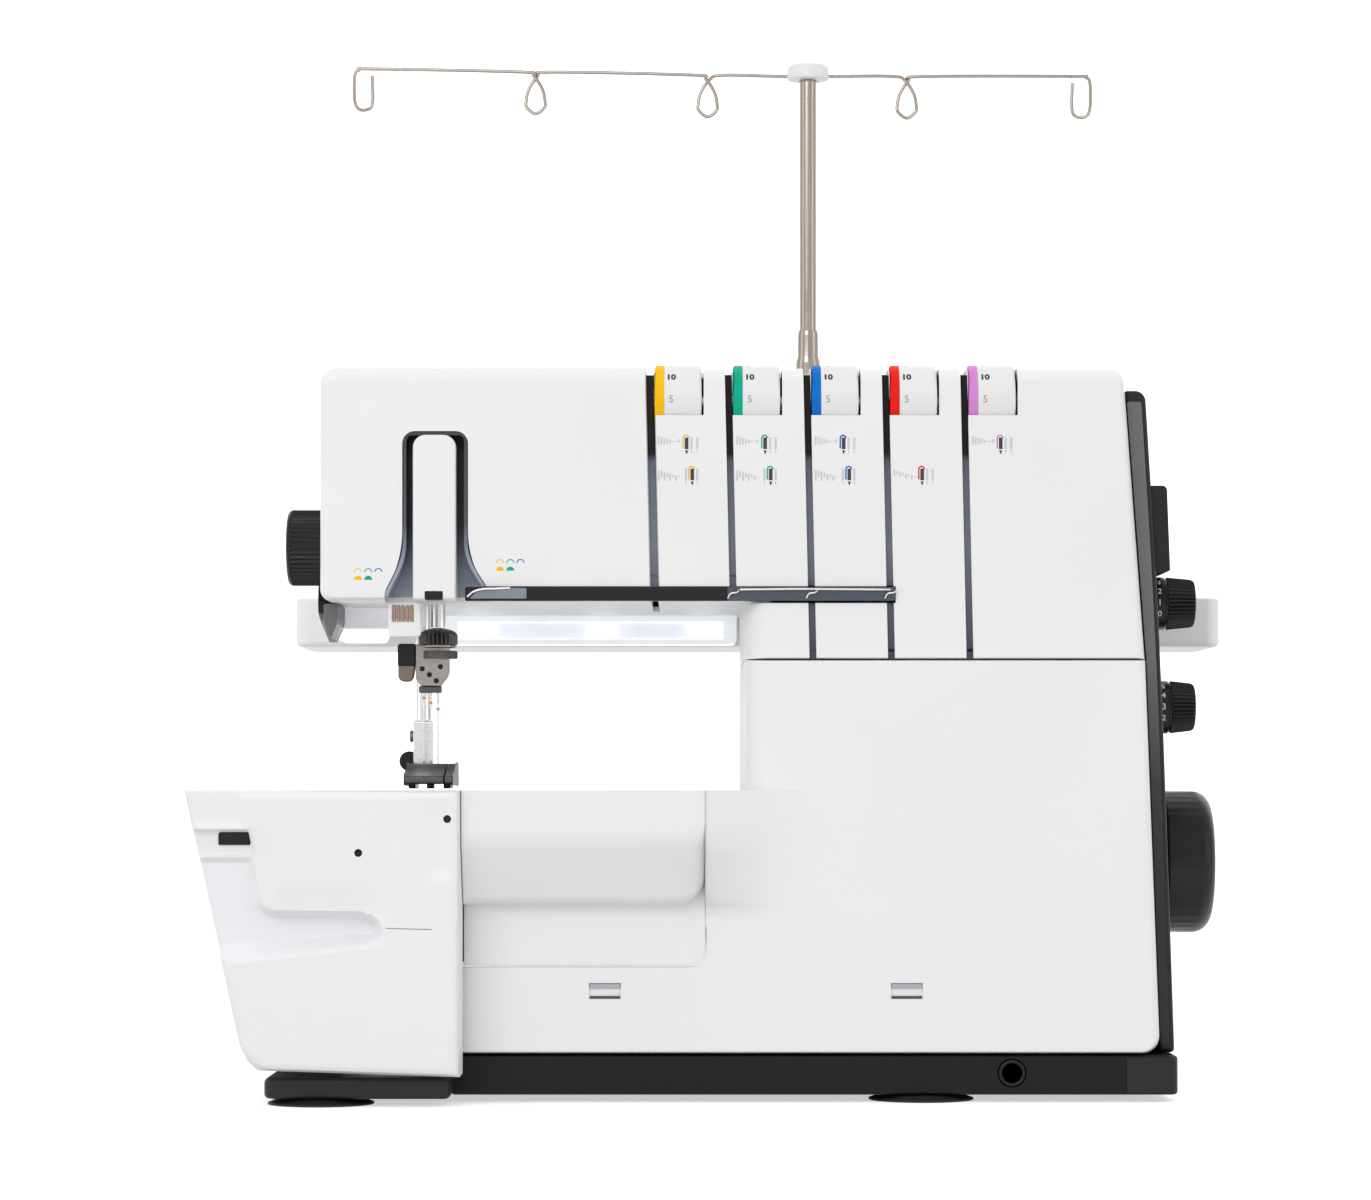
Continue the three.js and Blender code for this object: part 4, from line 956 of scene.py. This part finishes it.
def wrapped(mesh, x, axis_y, axis_z, radius, turn):
    """Wraps flat digits round a drum that turns about x, reading along x."""
    for step in range(-6, 7):
        everything = [*mesh.verts, *mesh.edges, *mesh.faces]
        bmesh.ops.bisect_plane(mesh, geom=everything, plane_co=(0, step * 0.45, 0), plane_no=(0, 1, 0))
    for vert in mesh.verts:
        u, v, w = vert.co
        angle = turn + v / radius
        r = radius + w
        vert.co = Vector((x + u, axis_y - r * math.cos(angle), axis_z + r * math.sin(angle))) * MM
    return mesh


def flat_mark(points, face):
    return prism(points, face - 0.06, face + 0.3)


def arch_mark(x, z, outer, inner, face, steps=10):
    """A half ring, or a half disc when inner is 0, standing on its flat side."""
    top = [(x + outer * math.cos(math.pi * i / steps), z + outer * math.sin(math.pi * i / steps))
           for i in range(steps + 1)]
    if inner:
        top += [(x + inner * math.cos(math.pi * i / steps), z + inner * math.sin(math.pi * i / steps))
                for i in range(steps, -1, -1)]
    return flat_mark(top, face)


def stitch_marks(name, left, low, node):
    face = BOX[node].y0
    pitch, size = 4.9, 1.95
    for i, colour in enumerate(("yellow", "green", "blue")):
        x = left + size + i * pitch
        line = moulded(f"{colour}_line_{name}", THREAD_COLOURS[colour], 0.5, 0.0, 0.03)
        extra(f"{name}_arc_{i}", arch_mark(x, low + 3.7, size, size - 0.5, face), line, node)
        if colour != "blue":
            extra(f"{name}_dome_{i}", arch_mark(x, low, size, 0, face), STRIPS[colour], node)


def dial_marks(index, dial, colour):
    """Small generic spool and loop marks below a dial."""
    face = UPPER.y0
    x = dial.x + 0.6
    rows = ((316.5, 301.5), (316.5, 301.5), (316.5, 301.5), (301.5,), (316.5,))[index]
    pale, dark, keyed = [], [], []
    for row, z in enumerate(rows):
        for step in range(8):
            left = x - 10.4 + step * 1.4
            tall = 7.6 - 0.85 * step if row == 0 and index != 3 else 5.2 - 1.6 * (step % 2)
            top = z + 3.9 if row == 0 and index != 3 else z + 2.6
            low = top - tall * (0.55 + 0.06 * step if row == 0 else 1)
            pale.append(flat_mark([(left, low), (left + 0.85, low), (left + 0.85, top - 0.45 * step),
                                   (left, top - 0.45 * step)], face))
        for step in range(3):
            left = x + 2.6 + step * 2.7
            ink = dark if step == row else pale
            right = left + (1.75 if step == row else 1.1)
            ink.append(flat_mark(rect(left, right, z - 2.4, z + 3.2), face))
            ink.append(flat_mark([(left + 0.1, z - 3.0), ((left + right) / 2, z - 5.0), (right - 0.1, z - 3.0)],
                                 face))
        keyed.append(arch_mark(x + 3.2 + row * 2.7, z + 2.9, 1.7, 1.0, face))
        keyed.append(flat_mark(rect(x + 1.5 + row * 2.7, x + 2.2 + row * 2.7, z - 2.0, z + 2.9), face))
    extra(f"dial_marks_{index + 1}", merged(*pale), FAINT_INK, "upper_cover")
    extra(f"dial_needles_{index + 1}", merged(*dark), DARK_INK, "upper_cover")
    extra(f"dial_key_{index + 1}", merged(*keyed), STRIPS[colour], "upper_cover")


stitch_marks("head_stitch", -183.2, 251.2, "head_cover")
stitch_marks("arm_stitch", -114.8, 255.6, "head_cover")


def tension_dial(index, colour):
    dial = DIALS[index]
    radius = dial.z1 - dial.z
    strip = dial.x0 + 4.7
    profile = [(0, dial.x0), (radius - 1.2, dial.x0), *[(r, dial.x0 + 1.2 - h) for r, h in
                                                       arc((radius - 1.2, 0), 1.2, 90, 0, 5)],
               (radius, strip - 0.15), (radius - 0.25, strip), (radius, strip + 0.15),
               (radius, dial.x1 - 1.2),
               *[(r, dial.x1 - 1.2 + h) for r, h in arc((radius - 1.2, 0), 1.2, 0, 90, 5)],
               (radius - 4, dial.x1), (radius - 5, dial.x1 - 0.8), (0, dial.x1 - 0.8)]
    drum = new_object("drum", lathe(profile, "x", (dial.y, dial.z), 128))
    drum = piece(f"tension_drum_{index + 1}", drum, [DIAL_WHITE, STRIPS[colour]], f"tension_dial_{index + 1}")
    paint_faces(drum, 1, lambda c: c.x < strip - 0.1)

    def on_drum(mesh, step):
        turn = math.radians(DIGIT_PITCH * step)
        return wrapped(mesh, dial.x0 + DIGIT_PLACE, dial.y, dial.z, radius + INK_LIFT, turn)

    numbers = ((-1, "0", 4.9, 0.0), (0, "5", 4.9, 0.0), (1, "10", 4.6, 0.22))
    ticks = [on_drum(lettering(value, size, bold), step) for step, value, size, bold in numbers]
    ticks += [on_drum(lettering("-", 6, 0.05), step) for step in (-3, -2, 2, 3)]
    middle = ticks.pop(1)
    node = f"tension_dial_{index + 1}"
    extra(f"tension_digits_{index + 1}", merged(*ticks), DARK_INK, node)
    extra(f"tension_middle_{index + 1}", middle, INK, node)

for number, tint in enumerate(THREAD_COLOURS):
    tension_dial(number, tint)
    dial_marks(number, DIALS[number], tint)


def side_numbers(name, values):
    """White numbers round the rim of an end dial, read from the front."""
    dial = BOX[name]
    radius = (dial.z1 - dial.z0) / 2
    marks = [wrapped(lettering(value, 4.2, 0.05), END_DIALS[name] + 3.6, dial.y, dial.z, radius + INK_LIFT,
                     math.radians((i - 1) * END_DIAL_PITCH)) for i, value in enumerate(values)]
    extra(f"{name}_digits", merged(*marks), DIAL_WHITE, name)

side_numbers("differential_dial", "0123")
side_numbers("stitch_length_dial", "2345")

# ------------------------------------------------------------------ recess, band and parts under the arm

def guard():
    box = BOX["take_up_guard"]
    outline = rect(box.x0, box.x1, box.z0, box.z1, 1.5, 6)
    bar = new_object("bar", pillow(outline, box.y0, box.y1, 1.6))
    carve(bar, block(-149, -140.3, box.y0 - 1, box.y1 + 1, box.z0 - 1, 245.6))
    soften(bar, 0.3)
    piece("take_up_guard_bar", bar, WHITE, "take_up_guard")
    extra("guard_foot", pillow(rect(-148.8, -140.5, box.z0, 245.4, 0.6, 0.6), box.y0 - 0.1, box.y0 + 9, 0.5),
          BLACK, "take_up_guard")


def band():
    strip = new_object("strip", pillow(rect(BAND.x0, BAND.x1, BAND.z0, BAND.z1, 0.8, 0.8), BAND.y0, BAND.y1, 0.6))
    carve(strip, block(-4.2, -3.4, BAND.y0 - 1, BAND.y0 + 0.3, BAND.z0 - 1, BAND.z1 + 1))
    made = piece("guide_band", strip, [BLACK, SLATE], "thread_guide_band")
    paint_faces(made, 1, lambda c: c.x > -3.6)
    rod = [(2.6, BAND.y0 - 0.7, 246.4), (30, BAND.y0 - 0.9, 246.7), (75, BAND.y0 - 0.7, 246.4)]
    extra("guide_rod", tube(rod, 0.5), STEEL, "thread_guide_band")
    plate = pillow([(BAND.x0 + 2, BAND.z0 + 1, 1.2), (-100, BAND.z0 + 1, 0.8), (-100, BAND.z1 - 0.6, 0.8),
                    (BAND.x0 + 7, BAND.z1 - 0.6, 3)], BAND.y0 - 1.2, BAND.y0 + 1, 0.5)
    extra("guide_plate", plate, SLATE_LIGHT, "thread_guide_band")
    hook = smooth_route([(-128.5, BAND.y0 - 0.9, 243.0), (-125.5, BAND.y0 - 1.6, 245.4),
                         (-121, BAND.y0 - 1.9, 246.6),
                         (-115, BAND.y0 - 1.7, 246.8), (-108, BAND.y0 - 1.4, 247.2)])
    extra("guide_hook", tube(hook, 0.55), STEEL, "thread_guide_band")
    for i, index in enumerate((1, 2, 3)):
        x = channel_x(index, BAND.z0)
        eye = smooth_route([(x - 2.6, BAND.y0 - 0.3, 242.4), (x - 1.4, BAND.y0 - 1.6, 244.4),
                            (x + 1.6, BAND.y0 - 1.8, 245.0), (x + 3.0, BAND.y0 - 0.3, 246.2)])
        extra(f"band_eye_{i}", tube(eye, 0.4), STEEL, "thread_guide_band")


def under_arm():
    comb = BOX["thread_comb"]
    outline = rect(comb.x0, comb.x1, comb.z0, comb.z1, 2, 0.5)
    holder = new_object("holder", pillow(outline, comb.y0, comb.y1, 0.7))
    carve(holder, block(-165.6, -154.8, comb.y0 - 1, comb.y0 + 1.4, 231, comb.z1 + 1))
    piece("comb_holder", holder, WHITE, "thread_comb")
    teeth = []
    for i in range(5):
        x = -164.4 + i * 2.1
        teeth.append(lathe([(0, 231.6), (0.72, 231.9), (0.72, 238.8), *arc((0, 238.8), 0.72, 0, 90, 4)], "z",
                           (x, comb.y0 + 0.5), 20))
    extra("comb_teeth", merged(*teeth), COPPER, "thread_comb")
    cutter = BOX["thread_cutter"]
    blade = prism([(cutter.x0, 231, 2), (-196.5, cutter.z0, 1.5), (cutter.x1, 231, 3), (cutter.x1, cutter.z1),
                   (cutter.x0, cutter.z1)], cutter.y0, cutter.y1)
    blade = new_object("blade", blade)
    soften(blade, 0.6)
    piece("thread_cutter_block", blade, GREY_PLASTIC, "thread_cutter")
    lamp, led = BOX["lamp_bar"], BOX["led_strip"]
    panel = [(-197.5, 230, 2.5), (-170, 230, 2), (-167, HEAD.z0 - 0.3), (-197.5, HEAD.z0 - 0.3)]
    # The panel's glow is painted light.
    extra("needle_lamp_panel", pillow(panel, cutter.y1 + 0.8, cutter.y1 + 40, 0.8), LAMP_PANEL_PAINTED_LIGHT, "lamp_bar")
    window = [(-196, 224.4, 1.4), (-174.5, 224.4, 1.4), (-173, 229.6), (-196, 229.6)]
    extra("needle_lamp", pillow(window, cutter.y1 + 1.6, cutter.y1 + 38, 0.6), LAMP, "led_strip")
    holder = new_object("lamp", pillow(rect(lamp.x0, lamp.x1, lamp.z0, lamp.z1, 2.5, 1), lamp.y0, lamp.y1, 1.2))
    carve(holder, block(led.x0 - 0.6, led.x1 + 0.6, lamp.y0 - 1, led.y1 + 0.4, led.z0 - 0.5, led.z1 + 0.5))
    # The housing's glow is painted light.
    piece("lamp_housing_painted_light", holder, LAMP_HOUSING_PAINTED_LIGHT, "lamp_bar")
    back = pillow(rect(led.x0, led.x1, led.z0, led.z1, 1, 1), led.y1 - 2.2, led.y1, 0.4)
    # The reflector's glow is painted light.
    piece("led_reflector_painted_light", back, REFLECTOR_PAINTED_LIGHT, "led_strip")
    for i, x in enumerate(LED_PLACES):
        lens = pillow(rect(x - LENS_HALF, x + LENS_HALF, led.z0 + 0.6, led.z1 - 0.8, 1.4, 1.4),
                      led.y0, led.y1 - 1.8, 0.6)
        extra(f"led_lens_{i}", lens, LAMP, "led_strip")


guard()
band()
under_arm()


# ------------------------------------------------------------------ needles and presser

def needle_group():
    x, y = BOX["needle_bar"].x, BOX["needle_bar"].y
    low, top = 221.0, BOX["needle_clamp"].z1
    radius = (BOX["needle_clamp"].x1 - x)
    dome = lathe([(0, low), (radius - 0.6, low), (radius, low + 0.6), (radius, low + 4.4),
                  *[(radius * math.cos(a), low + 4.4 + (top - low - 4.4) * math.sin(a))
                    for a in (0.25, 0.5, 0.75, 1.0, 1.25)], (0, top)], "z", (x, y), 208,
                 ribs=(26, 1.3, low + 0.5, low + 6.6))
    piece("clamp_nut", dome, DARK_STEEL, "needle_clamp")
    disc = lathe([(0, 214.2), (radius - 0.5, 214.2), (radius, 214.7), (radius, 217.6), (radius - 0.5, 218.1),
                  (0, 218.1)], "z", (x, y), 144, ribs=(36, 0.35, 214.6, 217.7))
    extra("clamp_ring", disc, DARK_STEEL, "needle_clamp")
    collar = lathe([(0, 219.4), (radius - 1.0, 219.4), (radius - 0.5, 219.9), (radius - 0.5, 220.7),
                    (radius - 1.0, low + 0.2), (0, low + 0.2)], "z", (x, y), 96)
    extra("clamp_collar", collar, CLAMP_STEEL, "needle_clamp")
    body = [(-155.5, 204, 1), (-152.5, 200.6, 1), (-143.6, 200.6, 1), (-139.0, 206.5, 2), (-139.0, 221.2, 0.5),
            (-155.5, 221.2, 0.5)]
    clamp = new_object("clamp", pillow(body, y - 6, y + 6, 0.9))
    screws = ((-152.3, 209.3), (-148.8, 206.4), (-145.4, 203.4), (-143.4, 210.3))
    for sx, sz in screws:
        carve(clamp, spindle(1.35, y - 8, y - 3.6, "y", (sx, sz), 32))
    carve(clamp, block(-155, -140, y - 7, y - 5.4, 212.2, 212.9))
    extra("clamp_body", clamp, CLAMP_STEEL, "needle_clamp")
    for i, (sx, sz) in enumerate(screws):
        head = lathe([(0, y - 4.2), (1.1, y - 4.2), (1.2, y - 4.0), (1.2, y - 3.4), (0, y - 3.4)],
                     "y", (sx, sz), 24)
        extra(f"clamp_screw_{i}", head, BLACK, "needle_clamp")
    side = pillow([(-164.4, 210.5, 1), (-155.7, 210.5, 1), (-155.7, 221.6, 1), (-164.4, 221.6, 1.5)],
                  y - 5, y + 4, 0.8)
    extra("clamp_side", side, BLACK, "needle_clamp")
    shoe = pillow([(-164.2, 203.0, 3), (-157.0, 203.0, 2.4), (-155.7, 211.5, 0.8), (-164.2, 211.5, 0.8)],
                  y - 4.6, y + 4, 0.9)
    extra("clamp_shoe", shoe, BRONZE, "needle_clamp")
    plate = pillow(rect(-154, -143, 197.6, 200.8, 0.6, 0.4), y - 4, y + 4, 0.5)
    extra("clamp_plate", plate, DARK_STEEL, "needle_clamp")
    for name, drop in (("needle_left", 195.1), ("needle_middle", 192.7), ("needle_right", 189.7)):
        box = BOX[name]
        profile = [(0, box.z0), (0.25, box.z0 + 1.2), (0.45, box.z0 + 3.4), (0.45, 190), (0.62, 191.2),
                   (0.85, 192.4), (0.85, box.z1), (0, box.z1)]
        piece(f"{name}_blade", lathe(profile, "z", (box.x, box.y), 24), STEEL, name)
        dot = lathe([(0, drop - 0.9), (0.95, drop - 0.4), (0.95, drop + 0.5), (0, drop + 0.9)], "z",
                    (box.x, box.y - 0.4), 20)
        extra(f"{name}_mark", dot, AMBER, name)


def presser():
    foot = BOX["presser_foot"]
    ankle = new_object("ankle", pillow([(-157.7, 161, 1), (-147.9, 161, 1), (-147.9, foot.z1, 1.6),
                                        (-157.7, foot.z1, 1.2)], -89, -79, 1.1))
    carve(ankle, block(-153.2, -152.5, -90, -88.4, 164, 181))
    piece("presser_ankle", ankle, STEEL, "presser_foot")
    sole = [(-76, 152.9), (-76, 162.6, 1.5), (-104, 163, 2), (-112, 159.4, 4), (-128, 156.6, 1), (-128, 153.2, 1),
            (-104, 152.9)]
    sole = [(y, z, *rest) for y, z, *rest in reversed(sole)]
    shoe = new_object("sole", pillow(sole, foot.x0 + 4.8, foot.x1 - 0.8, 0.9, axis="x"))
    carve(shoe, block(-154.4, -142.4, -101.4, -92.6, 145, 165))
    carve(shoe, block(-140.6, -139.8, -130, -104, 145, 165))
    extra("presser_sole", shoe, FOOT_STEEL, "presser_foot")
    cheek = pillow([(-159.8, 156.5, 2), (-155.5, 155.5, 1), (-155.5, 162, 0.8), (-158.0, 162, 1)], -104, -78, 0.7)
    extra("presser_cheek", cheek, FOOT_STEEL, "presser_foot")
    runners = [pillow(rect(x, x + 3.4, 150.7, 153.4, 0.5), -112, back, 0.4)
               for x, back in ((-158.4, -84), (-149.5, -103), (-141.4, -84))]
    extra("presser_runners", merged(*runners), BLACK, "presser_foot")
    knob = lathe([(0, -88), (4.2, -88), (4.9, -87.4), (4.9, -82.6), (4.2, -82), (0, -82)],
                 "y", (-159.6, 164.2), 48)
    extra("presser_release", knob, BLACK, "presser_foot")
    screw = lathe([(0, -159.4), (2.6, -159.4), (2.9, -159.0), (2.9, -157.6), (0, -157.6)], "x", (-84, 176.5), 36)
    extra("ankle_screw", screw, BRONZE, "presser_foot")


needle_group()
presser()


# ------------------------------------------------------------------ spool tray, mast and thread guide

def tray():
    box = BOX["spool_tray"]
    front = 76
    plan = rect(box.x0, box.x1, front, box.y1, 8, 14)
    body = new_object("tray", pillow(plan, box.z0, box.z1, 3.2, axis="z", high_edge=1.3))
    carve(body, pillow(inset(plan, 3), box.z0 + 3, box.z1 + 9, 3.0, axis="z"))
    for x in (-80, 100):
        arm = pillow(rect(x, x + 40, box.y0, front + 2, 0.5), 228, 240, 1.2, axis="z")
        boolean(body, arm, "UNION")
    piece("spool_tray_shell", body, WHITE, "spool_tray")
    for i in range(1, 6):
        pin = BOX[f"spool_pin_{i}"]
        floor = pin.z0
        profile = [(0, floor), (16.6, floor), (17, floor + 0.5), (17, floor + 2.2),
                   *arc((16.2, floor + 2.2), 0.8, 0, 90), (8, floor + 3.6), (6, floor + 5), (5.2, floor + 8),
                   (5, floor + 14), *arc((4, floor + 14), 1, 0, 80), (3, floor + 16), (3, pin.z1 - 3),
                   *arc((0, pin.z1 - 3), 3, 0, 88, 8), (0, pin.z1)]
        pin_mesh = new_object("pin", lathe(profile, "z", (pin.x, pin.y), 64))
        made = piece(f"spool_pin_{i}_turned", pin_mesh, [STEEL, DIAL_WHITE], f"spool_pin_{i}")
        paint_faces(made, 1, lambda c, top=floor + 15.6: c.z < top)


def mast():
    sleeve, tube_box, cap = BOX["mast_sleeve"], BOX["mast_tube"], BOX["mast_cap"]
    centre = (sleeve.x, sleeve.y)
    profile = [(0, sleeve.z0), (6.6, sleeve.z0), (6.6, 377), (6.3, 379), (5.7, 381), (5.6, 392),
               (5.3, 394.4), (4.9, sleeve.z1), (0, sleeve.z1)]
    piece("mast_lower", lathe(profile, "z", centre, 72), NICKEL, "mast_sleeve")
    piece("mast_upper_tube", spindle(4.5, tube_box.z0, tube_box.z1, "z", centre, 64), NICKEL, "mast_tube")
    radius = (cap.x1 - cap.x0) / 2
    profile = [(0, cap.z0), (radius - 1.6, cap.z0), *arc((radius - 1.4, cap.z0 + 1.4), 1.4, 270, 360),
               *arc((radius - 2.6, cap.z1 - 2.6), 2.6, 0, 90, 8), (0, cap.z1)]
    piece("mast_cap_turned", lathe(profile, "z", centre, 96), DIAL_WHITE, "mast_cap")


def wire_route():
    mast_x, y, line = BOX["mast_cap"].x, BOX["mast_cap"].y, 530.6
    eyes = [BOX[f"spool_pin_{i}"].x for i in range(1, 6)]
    rise = 4.2

    def lifted(x):
        return line + (rise * (mast_x - 15 - x) / 236 if x < mast_x - 15 else 0)

    first, last, top = eyes[0], eyes[-1], lifted(eyes[0])
    route = [(first + 4.2, y + 2.4, top - 3.2), (first + 4.4, y + 2.4, top - 17), (first + 2.4, y + 2.2, top - 21),
             (first - 2.6, y + 1.4, top - 21.4), (first - 5, y + 0.6, top - 17), (first - 5, y, top - 4),
             (first - 2.6, y, top - 0.6), (first + 4, y, top)]
    for eye in eyes[1:4]:
        z = lifted(eye)
        route += [(eye - 8, y, z), (eye - 1.2, y + 0.4, z - 2), (eye + 3.6, y + 1.2, z - 9),
                  (eye + 5, y + 1.4, z - 15)]
        for turn in range(3):
            angle = math.radians(-20 - 70 * turn)
            route.append((eye + 5 * math.cos(angle), y + 1.6 + 0.2 * turn, z - 17 + 5 * math.sin(angle)))
        route += [(eye - 5, y + 2.3, z - 15), (eye - 3.6, y + 2.5, z - 9), (eye + 1.2, y + 2.4, z - 2),
                  (eye + 8, y + 0.6, z)]
        if eye == eyes[2]:
            route += [(mast_x - 15, y, line), (mast_x + 15, y, line)]
    route += [(last - 4, y, line), (last + 2.6, y, line - 0.6), (last + 5, y, line - 4),
              (last + 5, y + 0.6, line - 17),
              (last + 2.6, y + 1.4, line - 21.4), (last - 2.4, y + 2.2, line - 21),
              (last - 4.4, y + 2.4, line - 17),
              (last - 4.2, y + 2.4, line - 3.2)]
    return route


def channel_ends():
    """Short lengths of channel floor below and between the ends of the channel plate."""
    front, back = BOX["thread_channel_plate"].y0, BOX["thread_channel_plate"].y1
    floors = [leaning_slot(index, 2.2, UPPER.z0 - 0.1, UPPER.z0 + 5, front, back) for index in (2, 3, 4)]
    floors += [leaning_slot(index, 2.2, BAND.z1 - 0.2, BAND.z1 + 6, front, back) for index in (0, 1)]
    # These floors carry the channel's painted light and shade.
    extra("channel_ends", merged(*floors), CHANNEL, "thread_channel_plate")


def rear_screws():
    rear = BOX["rear_cover"]
    screws = []
    for x, z in ((rear.x0 + 14, rear.z1 - 14), (rear.x1 - 28, rear.z1 - 14), (rear.x1 - 14, rear.z0 + 16),
                 (-110, rear.z0 + 16)):
        screws.append(lathe([(0, rear.y1 - 1), (3.4, rear.y1 - 1), (3.4, rear.y1 - 0.4), (2.6, rear.y1 + 0.2),
                             (1.2, rear.y1 + 0.3), (1.1, rear.y1 - 0.6), (0, rear.y1 - 0.6)], "y", (x, z), 40))
    extra("rear_screws", merged(*screws), DARK_STEEL, "rear_cover")


channel_ends()
rear_screws()
tray()
mast()
piece("guide_wire", tube(smooth_route(wire_route(), 6), 0.98, 16), NICKEL, "thread_guide_wire")


# ------------------------------------------------------------------ nodes shown as they are

SLOT_MATERIALS = {
    "white_shell": WHITE, "dial_white": DIAL_WHITE, "dark_shell": DARK, "black_plastic": BLACK,
    "slate_plastic": SLATE, "rubber_foot": RUBBER, "steel": STEEL, "nickel": NICKEL,
    "cast_metal": CASTING, "lamp_lens": LAMP,
}
# Both own materials carry painted light and shade that change with height.
OWN_MATERIALS = {"thread_channel_plate": CHANNEL, "head_recess_liner": LINER}

for name, node in frame["nodes"].items():
    node.data.materials.clear()
    node.data.materials.append(OWN_MATERIALS.get(name) or SLOT_MATERIALS[SLOT_OF[name]])
    edge = node.modifiers.new("edges", "BEVEL")
    edge.width = 0.3 * MM
    edge.segments = 2
    edge.limit_method = "ANGLE"
    edge.angle_limit = math.radians(40)
    edge.use_clamp_overlap = True
    level_normals(node)


# ------------------------------------------------------------------ stage, lights and camera

def flat_sheet(name, corners, material):
    mesh = bmesh.new()
    mesh.faces.new([mesh.verts.new(corner) for corner in corners])
    sheet = new_object(name, mesh)
    sheet.data.materials.append(material)
    sheet.visible_diffuse = False


floor_paint, _, surface = shader("floor_paint", 0.6)
surface.inputs["Base Color"].default_value = (0.70, 0.70, 0.705, 1)
surface.inputs["Emission Color"].default_value = (1, 1, 1, 1)
surface.inputs["Emission Strength"].default_value = 0.55
flat_sheet("floor", [(-6, -3, 0), (6, -3, 0), (6, 5, 0), (-6, 5, 0)], floor_paint)
backdrop_paint, _, surface = shader("backdrop_paint", 0.9)
surface.inputs["Base Color"].default_value = (0.9, 0.9, 0.9, 1)
surface.inputs["Emission Color"].default_value = (1, 1, 1, 1)
surface.inputs["Emission Strength"].default_value = 1.0
flat_sheet("backdrop", [(-6, 5, 0), (6, 5, 0), (6, 5, 6), (-6, 5, 6)], backdrop_paint)


def softbox(name, place, target, size, power):
    light = bpy.data.lights.new(name, "AREA")
    light.shape = "RECTANGLE"
    light.size, light.size_y = size
    light.energy = power
    lamp = bpy.data.objects.new(name, light)
    lamp.location = place
    lamp.rotation_euler = (Vector(target) - Vector(place)).to_track_quat("-Z", "Y").to_euler()
    bpy.context.scene.collection.objects.link(lamp)


softbox("key", (-0.8, -2.3, 1.5), (0, 0, 0.2), (1.6, 1.2), 16)
softbox("overhead", (0.2, 0.1, 2.4), (0, 0, 0.2), (2.2, 1.6), 3)
softbox("right", (2.2, -0.9, 0.9), (0, 0, 0.25), (0.8, 1.6), 4)
softbox("left", (-2.2, -0.6, 0.9), (0, 0, 0.25), (0.8, 1.6), 3)

world = bpy.data.worlds.new("world")
world.use_nodes = True
sky = world.node_tree
directions = sky.nodes.new("ShaderNodeTexCoord")
heights = sky.nodes.new("ShaderNodeSeparateXYZ")
sky.links.new(directions.outputs["Generated"], heights.inputs["Vector"])
ranged = sky.nodes.new("ShaderNodeMapRange")
for socket, value in (("From Min", -0.9), ("From Max", 0.35), ("To Min", 0.0), ("To Max", 1.0)):
    ranged.inputs[socket].default_value = value
sky.links.new(heights.outputs["Z"], ranged.inputs["Value"])
glow = tinted(sky, ranged.outputs["Result"], [(0.0, (0.60, 0.60, 0.605)), (0.62, (0.92, 0.92, 0.925)),
                                              (1.0, (0.84, 0.84, 0.845))])
sky.links.new(glow, sky.nodes["Background"].inputs["Color"])
sky.nodes["Background"].inputs["Strength"].default_value = 0.95
bpy.context.scene.world = world
bpy.context.scene.view_settings.view_transform = "Standard"

camera_data = bpy.data.cameras.new("camera")
camera_data.lens = 111.33
camera_data.sensor_width = 36
camera_data.shift_y = 0.1386
camera = bpy.data.objects.new("camera", camera_data)
camera.location = (-0.0236, -2.175, 0.150)
camera.rotation_euler = (math.pi / 2, 0, 0)
bpy.context.scene.collection.objects.link(camera)
bpy.context.scene.camera = camera
